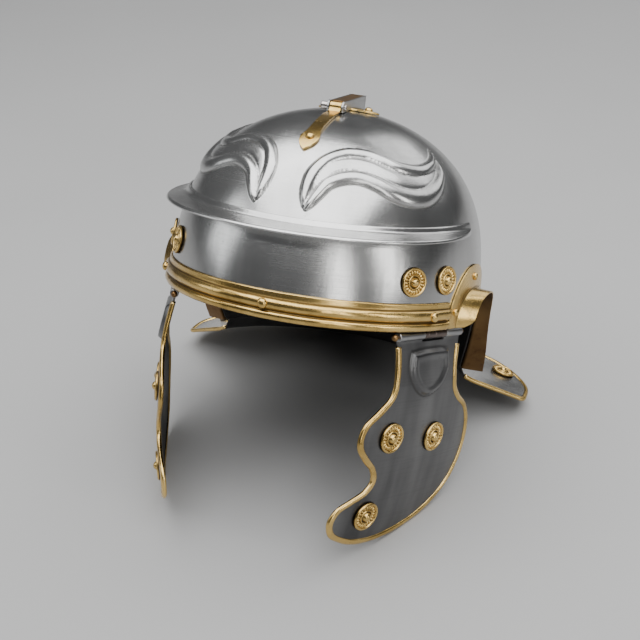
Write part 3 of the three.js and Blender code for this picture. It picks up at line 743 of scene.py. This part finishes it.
# rivets and rosettes
rosette = {
    "petals": 20, "petalRing": 6.6, "petalLong": 1.5, "petalWide": 0.94, "petalHigh": 1.15,
    "ring": 8.75, "ringWide": 0.95, "ringHigh": 1.35,
    "innerRing": 4.45, "innerWide": 0.6, "innerHigh": 0.95, "dome": 3.1, "onBowl": 0.935,
    "onNeck": 0.88, "lift": 0.3,
}


def halfRound(share, height):
    return height * np.clip(1 - share**2, 0, 1) ** 0.5


def rosetteHeight(r, turn):
    plain = 0.75 - 0.3 * smooth(r, 2, 9)
    outer = halfRound((r - rosette["ring"]) / rosette["ringWide"], rosette["ringHigh"])
    inner = halfRound((r - rosette["innerRing"]) / rosette["innerWide"], rosette["innerHigh"])
    dome = halfRound(r / rosette["dome"], rosette["dome"])
    pitch = 2 * math.pi / rosette["petals"]
    offTurn = (turn / pitch - np.round(turn / pitch)) * pitch * r
    along = (r - rosette["petalRing"]) / rosette["petalLong"]
    reach = np.hypot(along, offTurn / rosette["petalWide"])
    petal = halfRound(reach, rosette["petalHigh"])
    raised = np.maximum.reduce([outer, inner, dome, petal])
    # the second value marks the low ground between rings, beads and dome, painted darker as shade
    return plain + raised, np.clip(1.1 - raised / 0.6, 0, 1)


rosetteRadii = np.concatenate([
    np.linspace(0, 2.7, 10), np.linspace(2.85, 3.85, 4), np.linspace(3.95, 5.15, 9),
    np.linspace(5.35, 7.75, 15), np.linspace(7.85, 9.72, 13),
])


def addRound(name, node, place, lean, body, counts, size, profile, cavity=None):
    # place is the middle of its back, lean its outward direction, both in the helmet drawing;
    # profile(u, v) gives radius, turn and height
    out = unit(np.array(lean, float))
    side = unit(np.cross(out, [0.13, 0.31, 0.94]))
    over = np.cross(out, side)

    def surface(u, v):
        r, turn, height = profile(u, v)
        wide = (r * np.cos(turn))[:, None] * side + (r * np.sin(turn))[:, None] * over
        return toFrame(np.array(place) + wide + height[:, None] * out)

    piece = cleaned(gridPiece(name, *counts, surface, size, cavity))
    dressed(piece, brass, body, [node])


def addRosette(name, node, place, lean, body, scale=1.0):
    steps = len(rosetteRadii)
    start = rng.uniform(0, math.pi)

    def rings(u, v):
        k = np.round(v * steps).astype(int)
        return k, rosetteRadii[np.minimum(k, steps - 1)], u * 2 * math.pi

    def profile(u, v):
        k, r, turn = rings(u, v)
        height = np.where(k >= steps, 0.0, rosetteHeight(r, turn)[0])
        return r * scale, turn + start, height

    addRound(name, node, place, lean, body, (162, steps), (0.06, 0.012), profile,
             lambda u, v: rosetteHeight(*rings(u, v)[1:])[1])


def addRivet(name, node, place, lean, radius):
    def profile(u, v):
        turn = u * 2 * math.pi
        swing = np.clip(v * 1.25, 0, 1) * math.pi / 2
        r = radius * np.sin(swing) * (1 + 0.03 * np.sin(turn * 2 + radius))
        height = radius * 0.68 * np.cos(swing) + 0.25 - smooth(v, 0.8, 1) * 0.5
        return r, turn, height

    addRound(name, node, place, lean, "shell", (32, 14), (0.02, 0.005), profile)


def seatOnBowl(deg, z, lift):
    deg, z = np.array([float(deg)]), np.array([float(z)])
    normal = bowlNormal(deg, z)[0]
    return onBowl(deg, z)[0] + normal * lift, normal


for side, sign in (("left", 1), ("right", -1)):
    for where, deg, z in (("front", 49.7, 30.5), ("rear", 64.7, 31.2)):
        place, normal = seatOnBowl(deg * sign, z, rosette["lift"])
        name = f"bowlRosette{side.capitalize()}{where.capitalize()}"
        addRosette(name, f"bowl_rosette_{side}_{where}", place, normal, "shell",
                   rosette["onBowl"])
    spot = np.array([0.225, 0.815])
    at = onGuard(spot[:1], spot[1:])[0]
    along = onGuard(spot[:1] + 0.05, spot[1:])[0] - onGuard(spot[:1] - 0.05, spot[1:])[0]
    outward = onGuard(spot[:1], spot[1:] + 0.05)[0] - onGuard(spot[:1], spot[1:] - 0.05)[0]
    up = unit(np.cross(outward, along))
    up = up if up[2] > 0 else -up
    flip = np.array([sign, 1, 1])
    addRosette(f"neckRosette{side.capitalize()}", f"neck_rosette_{side}",
               (at + up * 0.7) * flip, up * flip, "shell", rosette["onNeck"])
for where, deg in (("left", band["rivetDeg"]), ("centre", 0), ("right", -band["rivetDeg"])):
    place, normal = seatOnBowl(deg, band["rivetZ"], band["rivetLift"])
    addRivet(f"bandRivet{where.capitalize()}", f"brow_band_rivet_{where}", place, normal,
             band["rivet"])
print("rosettes made")

# ear guards
earOuter = spline([
    [-42, 0.3], [-41, 13], [-34, 27], [-23, 36], [-9, 39], [6, 36], [20, 27],
    [32, 13], [42, -2], [50, -16], [56.5, -28], [61, -38],
], 300)
earTip = spline([
    [-25, 1], [-24, 9], [-19, 17], [-11, 21.5], [-1, 22.3], [9, 18.5], [20, 11],
    [30, 0], [38.5, -13], [46, -25], [53, -35.5], [60, -44.5],
], 300)
earReach = [11.7, 12, 12.1, 11.8, 11.1, 10.2, 9.8, 10.1, 11, 12.6, 14, 15.1]
ear = {"fold": 0.42, "lift": 1.35, "sheet": 1.0, "corner": 0.05, "bend": 0.03, "rivet": 2.4}


def fromSide(y, z, reach):
    length = np.where(y < 0, bowl["front"], bowl["back"])
    share = np.clip(y / length / spread(z), -1, 1)
    return onBowl(np.degrees(np.arccos(-share)), z, reach)


def earSurface(u, w):
    # w is 0 at the plate's edge and 1 at the flange's lip
    outer, root, lip = sampled(earOuter, u), sampled(earArch, u), sampled(earTip, u)
    on = np.clip(w / ear["fold"], 0, 1)
    flat = outer + (root - outer) * on[:, None]
    plate = fromSide(flat[:, 0], flat[:, 1], ear["lift"])
    base = fromSide(root[:, 0], root[:, 1], ear["lift"])
    corner = 1 - 0.5 * (1 - np.minimum(u / ear["corner"], 1)) ** 2.2
    reach = np.interp(u, np.linspace(0, 1, len(earReach)), earReach) * corner
    end = np.stack([base[:, 0] + reach - ear["lift"], root[:, 0] + (lip - root)[:, 0] * corner,
                    root[:, 1] + (lip - root)[:, 1] * corner], -1)
    off = np.clip((w - ear["fold"]) / (1 - ear["fold"]), 0, 1)
    flange = base + (end - base) * off[:, None]
    return np.where((w < ear["fold"])[:, None], plate, flange)


def earPlace(u, v):
    # averaged over a short span so the fold is a bend and not a crease
    spans = np.linspace(-ear["bend"], ear["bend"], 7)
    held = np.clip(np.minimum(v, 1 - v) / ear["bend"], 0, 1)
    points = sum(earSurface(u, np.clip(v + s * held, 0, 1)) for s in spans) / len(spans)
    return toFrame(points)


# the fold line, painted darker as shade
def earCrease(u, v):
    return np.exp(-((v - ear["fold"] + 0.012) / 0.02) ** 2) * 0.8


earGuard = cleaned(gridPiece("earGuardLeft", 170, 66, earPlace, (0.12, 0.03), earCrease))
painted(earGuard, brass, innerBrass)
earPlateSpot = Vector(toFrame(fromSide(np.array([-12.0]), np.array([32.0]), 2.0)[0]))
facing(earGuard, lambda centre: Vector((1, 0, 0)) if (centre - earPlateSpot).length < 0.012
       else Vector((0, 0, 0)))
sheeted(earGuard, ear["sheet"], -1.0, 0.00025, use_even_offset=True, material_offset=1)
bothSides(earGuard, None, "ear_guard")
for side, sign in (("left", 1), ("right", -1)):
    for where, y, z in (("top", -10.2, 31.3), ("front", -36, 10.5), ("rear", 43, -12.5)):
        at = fromSide(np.array([float(y)]), np.array([float(z)]), 1.5)[0]
        normal = unit(np.array([at[0] / bowl["halfWidth"] ** 2,
                                at[1] / bowl["front"] ** 2, 0.0]))
        flip = np.array([sign, 1, 1])
        addRivet(f"earRivet{side.capitalize()}{where.capitalize()}",
                 f"ear_guard_{side}_rivet_{where}", at * flip, normal * flip, ear["rivet"])
print("ear guards made")

# neck guard edging
neckEdge = {"radius": 1.9, "flatness": 0.86, "corner": 0.93, "out": 0.985, "down": 0.7}
stations = [[0, out] for out in np.linspace(0.1, neckEdge["corner"], 8)]
stations += [[across, neckEdge["out"]] for across in np.linspace(0, 2, 61)]
stations += [[2, out] for out in np.linspace(neckEdge["corner"], 0.1, 8)]
stations = np.array(stations)
neckLine = spline(onGuard(stations[:, 0], stations[:, 1], -neckEdge["down"]), 360)
for _ in range(6):
    neckLine[1:-1] = (neckLine[:-2] + 2 * neckLine[1:-1] + neckLine[2:]) / 4


neckTangent = unit(np.gradient(neckLine, axis=0))


def neckPath(t, one, two):
    at = sampled(neckLine, t)
    along = unit(sampled(neckTangent, t))
    aside = unit(np.cross(along, np.array([0, 0, 1.0])))
    up = np.cross(aside, along)
    return at + aside * one[:, None] + up * two[:, None]


def pipe(flatness, radius):
    def section(t, a):
        lump = 1 + 0.03 * np.sin(t * 61) + 0.02 * np.sin(t * 143 + 2)
        return radius * lump * np.cos(a), radius * flatness * lump * np.sin(a)

    return section


neckEdging = sweep("neckEdging", 420, 16, neckPath,
                   pipe(neckEdge["flatness"], neckEdge["radius"]), 0.42, 0.012)
dressed(neckEdging, brass, "shell", ["neck_edging"])
print("neck edging made")

# cheek guards
cheek = {
    "sheet": 1.2, "belly": 5, "crossBelly": 3, "crossMiddle": 30, "crossHalf": 50,
    "crossStart": 26, "length": 128, "hang": 4, "edging": 2.1, "edgingThick": 1.65,
    "edgingIn": 0.5,
    "shieldHigh": 2.9, "shieldSunk": 0.9, "notch": (24.8, 47.1), "notchDeep": 4.3,
    "rosetteLift": 0.9,
}
outline = spline([
    [1.5, 6], [2, 13], [1.5, 25], [-1, 36], [-10, 44.5], [-19, 51.5], [-22.5, 59], [-21.5, 67],
    [-15, 75], [-7.5, 82], [-4.5, 90], [-9, 97], [-19, 102], [-28, 107], [-31.5, 115],
    [-28, 123.5], [-20, 128.5], [-8, 132.5], [8, 133.8], [24, 132], [40, 128], [55, 122.5],
    [70, 113.5], [80, 103.5], [86, 91], [88.5, 77], [86.5, 62], [80, 50.5], [69, 42.5],
    [62.5, 34], [61, 20], [62.5, 8],
], 360)


def belly(s, t):
    down = np.maximum(t - cheek["hang"], 0)
    share = np.minimum(down / (cheek["length"] - cheek["hang"]), 1.1)
    across = 1 - ((s - cheek["crossMiddle"]) / cheek["crossHalf"]) ** 2
    return (cheek["belly"] * 4 * share * (1 - share)
            + cheek["crossBelly"] * np.minimum(down / cheek["crossStart"], 1) * across)


def fromPlate(n, s, t):
    # out of the plate, rearward along the hinge, down from its axis; the left-hand guard
    x = n * math.cos(hinge["hang"]) - t * math.sin(hinge["hang"])
    z = -n * math.sin(hinge["hang"]) - t * math.cos(hinge["hang"])
    across = x * math.cos(hinge["toe"]) + s * math.sin(hinge["toe"])
    along = -x * math.sin(hinge["toe"]) + s * math.cos(hinge["toe"])
    return np.stack([across + hinge["x"], along + hinge["y"], z + hinge["z"]], -1)


shield = np.array(spline([
    [14.5, 9.5], [32, 8.6], [49.5, 9.5], [51.5, 15], [51.3, 22], [46, 30], [38.5, 35.6], [31, 37.6],
    [23.5, 35.4], [17, 29.8], [13.2, 22], [13, 15], [14.5, 9.5],
], 240))


def insideDistance(points, loop):
    # signed distance to a closed loop, positive inside
    out = np.empty(len(points))
    a, b = loop[:-1], loop[1:]
    for start in range(0, len(points), 3000):
        p = points[start:start + 3000]
        ab = b - a
        ap = p[:, None] - a[None]
        t = np.clip((ap * ab).sum(-1) / np.maximum((ab * ab).sum(-1), 1e-9), 0, 1)
        gap = np.linalg.norm(ap - ab[None] * t[..., None], axis=-1).min(1)
        crossing = ((a[None, :, 1] > p[:, None, 1]) != (b[None, :, 1] > p[:, None, 1])) & (
            p[:, None, 0] < (b - a)[None, :, 0] * (p[:, None, 1] - a[None, :, 1])
            / np.where(np.abs(ab[None, :, 1]) < 1e-9, 1e-9, ab[None, :, 1]) + a[None, :, 0])
        out[start:start + 3000] = np.where(crossing.sum(1) % 2 == 1, gap, -gap)
    return out


def plateLift(s, t):
    # the pressed shield: a rounded rim round a slightly sunk field
    deep = insideDistance(np.stack([s, t], -1), shield)
    rim = cheek["shieldHigh"] * smooth(deep, -0.4, 2.6)
    return belly(s, t) + rim - cheek["shieldSunk"] * smooth(deep, 3.6, 6.8)


notchStart, notchEnd = cheek["notch"]
topLine = [
    [63.4, 2.5], [63.5, 0], [notchEnd, 0], [notchEnd, cheek["notchDeep"]],
    [notchStart, cheek["notchDeep"]], [notchStart, 0], [0.1, 0], [0.2, 2.5],
]
plateLoop = np.vstack([outline, topLine])
bpy.ops.object.select_all(action="DESELECT")
bpy.ops.mesh.primitive_circle_add(vertices=len(plateLoop), fill_type="NGON")
cutter = bpy.context.object
setVerts(cutter, np.column_stack([plateLoop, np.full(len(plateLoop), -8.0)]) / 1000)
edited(cutter, (bpy.ops.mesh.extrude_region_move,
                {"TRANSFORM_OT_translate": {"value": (0, 0, 0.016)}}))
edited(cutter, (bpy.ops.mesh.normals_make_consistent, {"inside": False}))
plateSpan = {"s": (-36, 93), "t": (-2, 137)}
plate = gridPiece("cheekGuardLeft", 129, 139, lambda u, v: np.column_stack([
    plateSpan["s"][0] + u * (plateSpan["s"][1] - plateSpan["s"][0]),
    plateSpan["t"][0] + v * (plateSpan["t"][1] - plateSpan["t"][0]), 0 * u]) / 1000, (0.129, 0.139))
# the plate's back faces are near-black, painted shade
painted(plate, satinSteel, shadeBlack)
modified(plate, "SOLIDIFY", thickness=cheek["sheet"] / 1000, offset=0.0, material_offset=1)
modified(plate, "BOOLEAN", object=cutter, operation="INTERSECT", solver="EXACT")
bpy.data.objects.remove(cutter)
flat = getVerts(plate) * 1000
marks = plate.data.attributes.new("cavity", "FLOAT", "POINT")
aroundShield = insideDistance(flat[:, :2], shield)
# a dark line round the shield, stronger lower down, painted as shade
creases = np.exp(-((aroundShield + 0.6) / 0.7) ** 2) * (0.45 + 0.4 * smooth(flat[:, 1], 14, 34))
marks.data.foreach_set("value", creases.astype(np.float32))
lifted = flat[:, 2] + plateLift(flat[:, 0], flat[:, 1])
setVerts(plate, toFrame(fromPlate(lifted, flat[:, 0], flat[:, 1])))
cleaned(plate, 1e-6)
activate(plate)
bpy.ops.object.shade_smooth_by_angle(angle=math.radians(40))
print("cheek plate", len(plate.data.polygons))


def barrel(name, start, end, radius, seams=()):
    # a rolled hinge knuckle with eased ends, lying along the hinge
    def path(t, one, two):
        s = start + (end - start) * t
        ease = np.clip(np.minimum(t, 1 - t) * (end - start) / 0.5, 0, 1)
        grow = 1 - 0.14 * (1 - ease) ** 2
        for seam in seams:
            grow = grow - 0.13 * np.exp(-(((t - seam) * (end - start)) / 0.22) ** 2)
        return fromPlate(one * grow, s, two * grow)

    return sweep(name, 160, 40, path, lambda t, a: (radius * np.cos(a), radius * np.sin(a)),
                 (end - start) / 1000, radius * 0.0063)


knuckles = [barrel("knuckleFront", 0, notchStart, hinge["radius"]),
            barrel("knuckleRear", notchEnd, hinge["length"], hinge["radius"])]
# the knuckles take the lighter satin, a painted highlight as well as wear
for knuckle in knuckles:
    painted(knuckle, rubbedHighlightSteel)
joined(plate, *knuckles)
bothSides(plate, None, "cheek_guard", moving=True)

outlineTangent = unit(np.gradient(outline, axis=0))


def edgingPath(t, one, two):
    at = sampled(outline, t)
    along = unit(sampled(outlineTangent, t))
    off = one - edgeSide * cheek["edgingIn"]
    s = at[:, 0] + along[:, 1] * off
    d = at[:, 1] - along[:, 0] * off
    return fromPlate(belly(s, d) + two, s, d)


# which side of the outline is inside the plate
besideIt = outline[90] + outlineTangent[90, ::-1] * np.array([1, -1])
probe = insideDistance(besideIt[None], np.vstack([outline, outline[:1]]))[0]
edgeSide = -1 if probe > 0 else 1


def edgingSection(t, a):
    lump = 1 + 0.035 * np.sin(t * 71) + 0.02 * np.sin(t * 173 + 1)
    wide = edgeSide * cheek["edging"] * lump
    return wide * np.cos(a), cheek["edgingThick"] * lump * np.sin(a)


edging = sweep("cheekEdgingLeft", 420, 16, edgingPath, edgingSection, 0.43, 0.013)
bothSides(edging, brass, "cheek_edging", moving=True)
for where, s, t in (("front", 3, 62), ("rear", 46, 66.5), ("tip", -3, 114)):
    s, t = np.array([float(s)]), np.array([float(t)])
    at = fromPlate(belly(s, t) + cheek["rosetteLift"], s, t)[0]
    alongS = fromPlate(belly(s + 1, t), s + 1, t)[0] - fromPlate(belly(s - 1, t), s - 1, t)[0]
    alongT = fromPlate(belly(s, t + 1), s, t + 1)[0] - fromPlate(belly(s, t - 1), s, t - 1)[0]
    out = unit(np.cross(alongT, alongS))
    out = out if out[0] > 0 else -out
    for side, sign in (("left", 1), ("right", -1)):
        flip = np.array([sign, 1, 1])
        addRosette(f"cheekRosette{side.capitalize()}{where.capitalize()}",
                   f"cheek_rosette_{side}_{where}", at * flip, out * flip, f"cheek_{side}")
print("cheek guards made")

# hinge leaves and pins
leaf = {"height": 17.0, "stepIn": 1.2, "sheet": 1.2, "seams": (0.12, 0.47), "girth": 0.97}
hingePin = {
    "start": -4.6, "span": 70.0, "ball": 2.1, "ballAt": -2.5, "shank": 0.8, "end": 64.0,
    "head": 1.9,
}
leafBarrel = barrel("hingeLeafLeft", hinge["leafStart"], hinge["leafEnd"],
                    hinge["radius"] * leaf["girth"], leaf["seams"])


def leafPlace(u, v):
    s = hinge["leafStart"] + (hinge["leafEnd"] - hinge["leafStart"]) * u
    up = leaf["height"] * v
    n = leaf["stepIn"] * smooth(up, 0, 5)
    x = n * math.cos(hinge["toe"]) + s * math.sin(hinge["toe"])
    y = -n * math.sin(hinge["toe"]) + s * math.cos(hinge["toe"])
    return toFrame(np.stack([x + hinge["x"], y + hinge["y"], up + hinge["z"]], -1))


leafPlate = cleaned(gridPiece("leafPlate", 20, 16, leafPlace, (0.02, 0.017)))
sheeted(leafPlate, leaf["sheet"], 0.0)
joined(leafBarrel, leafPlate)
bothSides(leafBarrel, leafSteel, "hinge_leaf")


def pinPath(t, one, two):
    # a ball at the front, a straight shank, a small flat head at the back
    s = hingePin["start"] + hingePin["span"] * t
    ball = np.sqrt(np.clip(hingePin["ball"] ** 2 - (s - hingePin["ballAt"]) ** 2, 0, None))
    shank = np.where((s > hingePin["ballAt"]) & (s < hingePin["end"]), hingePin["shank"], 0)
    head = np.where(s >= hingePin["end"] - 0.1, hingePin["head"], 0)
    girth = np.maximum.reduce([ball, shank, head])
    return fromPlate(one * girth, s, two * girth)


pin = sweep("hingePinLeft", 280, 24, pinPath, lambda t, a: (np.cos(a), np.sin(a)), 0.07, 0.01)
bothSides(pin, innerBrass, "hinge_pin")
print("hinges made")

# crest holder
crest = {
    "lift": 0.45, "sheet": 1.2, "roll": 3.0, "rollY": -27, "rollZ": 125.6, "half": 5.5,
    "front": -30.8, "back": 17.5, "roofFront": -23.8, "frontTop": 129.2, "backTop": 134.3,
    "rivet": 2.7, "strapEnd": 81, "tabLong": 21, "tabWide": 14, "riserHalf": 4.0,
    "roofWide": 8.8,
}
rollZ = crest["rollZ"]
strapWidths = np.array([
    [-81, 0.05], [-80.2, 1.2], [-78.5, 3.2], [-75.5, 5.2], [-73, 5.9], [-71, 6], [-68.5, 5.6],
    [-66, 4.8], [-63.5, 4.25], [-58, 4], [-50, 3.95], [50, 3.95], [58, 4], [63.5, 4.25],
    [66, 4.8], [68.5, 5.6], [71, 6], [73, 5.9], [75.5, 5.2], [78.5, 3.2], [80.2, 1.2], [81, 0.05],
])


def settled(x, y):
    return np.stack([x, y, topOfBowl(x, y) + crest["lift"]], -1)


def strapPlace(u, v):
    y = (2 * u - 1) * crest["strapEnd"]
    half = np.interp(y, strapWidths[:, 0], strapWidths[:, 1])
    return toFrame(settled((v - 0.5) * 2 * half, y))


def tabPlace(u, v):
    x = (2 * u - 1) * crest["tabLong"]
    half = crest["tabWide"] * np.clip(1 - np.abs(x / crest["tabLong"]) ** 1.7, 0, 1) ** 0.95
    return toFrame(settled(x, (v - 0.5) * 2 * half) + np.array([0, 0, 0.02]))


def rearUp(centre):
    return Vector((0, 0.3, 1))


saddle = facing(cleaned(gridPiece("crestSaddle", 240, 10, strapPlace, (0.19, 0.008))), rearUp)
tabs = facing(cleaned(gridPiece("crestTabs", 80, 30, tabPlace, (0.042, 0.028))), rearUp)
for sheetPiece in (saddle, tabs):
    sheeted(sheetPiece, crest["sheet"], 1.0)
onStrap = float(topOfBowl(0.0, np.array(-34.4))) + crest["lift"] + crest["sheet"] * 0.6
riserLine = [[-37, onStrap - 0.75], [-34.4, onStrap], [-32, onStrap + 0.8],
             [-30.5, onStrap + 2.2], [-30.05, rollZ - 0.7]]
for swing in np.radians(np.linspace(180, -60, 17)):
    riserLine.append([crest["rollY"] + crest["roll"] * math.cos(swing),
                      rollZ + crest["roll"] * math.sin(swing)])
riserLine = spline(riserLine, 90)


def riserPlace(u, v):
    at = sampled(riserLine, u)
    half = crest["riserHalf"] - 0.12 * smooth(u, 0.15, 0.3)
    return toFrame(np.stack([(v - 0.5) * 2 * half, at[:, 0], at[:, 1]], -1))


# the bend at the riser's foot, painted darker as shadow
def riserCrease(u, v):
    return np.exp(-((u - 0.17) / 0.035) ** 2) * 0.7


riser = cleaned(gridPiece("crestRiser", 89, 12, riserPlace, (0.035, 0.008), riserCrease))
facing(riser, lambda centre: Vector((0, -1, 1)))
sheeted(riser, crest["sheet"], -1.0)
joined(saddle, tabs, riser)
dressed(saddle, brass, "shell", ["crest_saddle"])


def roofZ(y):
    share = (y - crest["roofFront"]) / (crest["back"] - crest["roofFront"])
    return crest["frontTop"] + (crest["backTop"] - crest["frontTop"]) * np.maximum(share, 0)


def sidePlace(u, v):
    # one side plate of the channel, its front corner rounded over the rolled strap
    y = crest["front"] + (crest["back"] - crest["front"]) * u**1.25
    reach = crest["frontTop"] - rollZ
    past = np.sqrt(np.clip(1 - ((crest["rollY"] - y) / reach) ** 2, 0, 1))
    top = np.where(y < crest["rollY"], rollZ + past * reach, roofZ(y))
    overTab = 1.3 * (1 - smooth(np.abs(y), 12.8, 14.6))
    foot = topOfBowl(crest["half"] + 0 * y, y) + 0.45 + overTab
    foot = np.minimum(foot + 3.2 * smooth(y, crest["front"] + 2.5, crest["front"]) ** 2, top)
    return toFrame(np.stack([crest["half"] + 0 * y, y, foot + (top - foot) * v], -1))


sides = []
for sign in (1, -1):
    sidePlate = gridPiece("crestSide", 90, 14,
                          lambda u, v: sidePlace(u, v) * np.array([sign, 1, 1]), (0.053, 0.013))
    facing(cleaned(sidePlate), lambda centre: Vector((sign, 0, 0)))
    sheeted(sidePlate, crest["sheet"], -1.0, segments=3)
    painted(sidePlate, rubbedHighlightSteel, innerBrass)
    sides.append(sidePlate)
roof = gridPiece("crestRoof", 60, 10, lambda u, v: toFrame(np.stack([
    (v - 0.5) * crest["roofWide"], crest["roofFront"] + (crest["back"] - crest["roofFront"]) * u,
    roofZ(crest["roofFront"] + (crest["back"] - crest["roofFront"]) * u)], -1)), (0.045, 0.009))
facing(cleaned(roof), rearUp)
painted(roof, innerBrass)
sheeted(roof, crest["sheet"], -1.0, 0.0002)
channel = joined(sides[0], sides[1], roof)
channel.name = "crestChannel"
dressed(channel, None, "shell", ["crest_channel"])

pinLine = np.array([[-10.45, 0], [-10.45, 1.6], [-10.1, 2.1], [-9.6, 2.25], [-6.4, 2.25],
                    [-5.95, 2.1], [-5.85, 1.7], [-5.85, 1.15], [5.85, 1.15], [5.85, 1.3],
                    [6.1, 1.55], [6.5, 1.4], [6.8, 0.9], [6.85, 0]])


def crossPinPlace(u, v):
    at = np.interp(v, np.linspace(0, 1, len(pinLine)), np.arange(len(pinLine)))
    x = np.interp(at, np.arange(len(pinLine)), pinLine[:, 0])
    r = np.interp(at, np.arange(len(pinLine)), pinLine[:, 1])
    turn = u * 2 * math.pi
    return toFrame(np.stack([x, crest["rollY"] + r * np.cos(turn), rollZ + r * np.sin(turn)], -1))


crossPin = cleaned(gridPiece("crestPin", 40, 52, crossPinPlace, (0.018, 0.018)))
activate(crossPin)
bpy.ops.object.shade_smooth_by_angle(angle=math.radians(50))
dressed(crossPin, pinSteel, "shell", ["crest_pin"])
for where, x, y in (("front", 0, -71), ("rear", 0, 71), ("left", 13.5, 0), ("right", -13.5, 0)):
    x, y = np.array([float(x)]), np.array([float(y)])
    slopeX = (topOfBowl(x + 0.5, y) - topOfBowl(x - 0.5, y))[0]
    slopeY = (topOfBowl(x, y + 0.5) - topOfBowl(x, y - 0.5))[0]
    out = unit(np.array([-slopeX, -slopeY, 1.0]))
    at = settled(x, y)[0] + out * crest["sheet"]
    addRivet(f"crestRivet{where.capitalize()}", f"crest_rivet_{where}", at, out, crest["rivet"])
print("crest holder made")

# floor, light, camera
floorPaint = Paint("pale floor")
floorTone = floorPaint.noise(3, 3, 0.5)
floorColour = floorPaint.mix(floorTone, (0.3, 0.3, 0.3), (0.33, 0.33, 0.33))
floorMaterial = floorPaint.finish(
    floorColour, floorTone.between(0.3, 0.7, 0.55, 0.65),
    floorPaint.bump(floorPaint.noise(900, 2), 0.2, 0.0002), 0.0,
)
bpy.ops.mesh.primitive_plane_add(size=30)
floor = bpy.context.object
floor.name = "floor"
floor.data.materials.append(floorMaterial)


def softbox(name, place, target, size, power, colour=(1, 1, 1)):
    bpy.ops.object.light_add(type="AREA", location=place)
    lamp = bpy.context.object
    lamp.name = name
    lamp.data.shape = "RECTANGLE"
    lamp.data.size, lamp.data.size_y = size
    lamp.data.energy = power
    lamp.data.color = colour
    direction = Vector(target) - Vector(place)
    lamp.rotation_euler = direction.to_track_quat("-Z", "Y").to_euler()


lights = [
    ("overhead", (0.0, -0.05, 1.45), (0, 0, 0.1), (2.2, 2.3), 72, (1, 1, 1)),
    ("rightPanel", (1.25, -0.35, 0.5), (0, 0, 0.12), (0.3, 0.7), 3.5, (1, 0.99, 0.97)),
    ("frontStrip", (0.95, -1.25, 0.6), (0, 0, 0.12), (0.35, 1.0), 5, (1, 0.99, 0.97)),
    ("leftPanel", (-1.3, -0.5, 0.7), (0, 0, 0.12), (0.6, 0.9), 3.5, (0.97, 0.99, 1)),
    ("backPanel", (0.6, 1.4, 0.9), (0, 0, 0.12), (1.2, 0.7), 5, (1, 1, 1)),
]
for light in lights:
    softbox(*light)

world = bpy.data.worlds.new("studio")
bpy.context.scene.world = world
world.use_nodes = True
world.node_tree.nodes["Background"].inputs[0].default_value = (0.6, 0.61, 0.62, 1)
world.node_tree.nodes["Background"].inputs[1].default_value = 0.2

camera = {
    "place": (0.2333, -0.6448, 0.5195), "azimuth": 20.05, "elevation": 32.16, "roll": 0.22,
    "lens": 66.29,
}
cameraData = bpy.data.cameras.new("viewCamera")
cameraData.lens = camera["lens"]
cameraData.sensor_width = 36
cameraObject = bpy.data.objects.new("viewCamera", cameraData)
bpy.context.scene.collection.objects.link(cameraObject)
turn = (Matrix.Rotation(math.radians(camera["azimuth"]), 4, "Z")
        @ Matrix.Rotation(math.radians(90 - camera["elevation"]), 4, "X")
        @ Matrix.Rotation(math.radians(camera["roll"]), 4, "Z"))
cameraObject.matrix_world = Matrix.Translation(camera["place"]) @ turn
bpy.context.scene.camera = cameraObject

print("scene made")
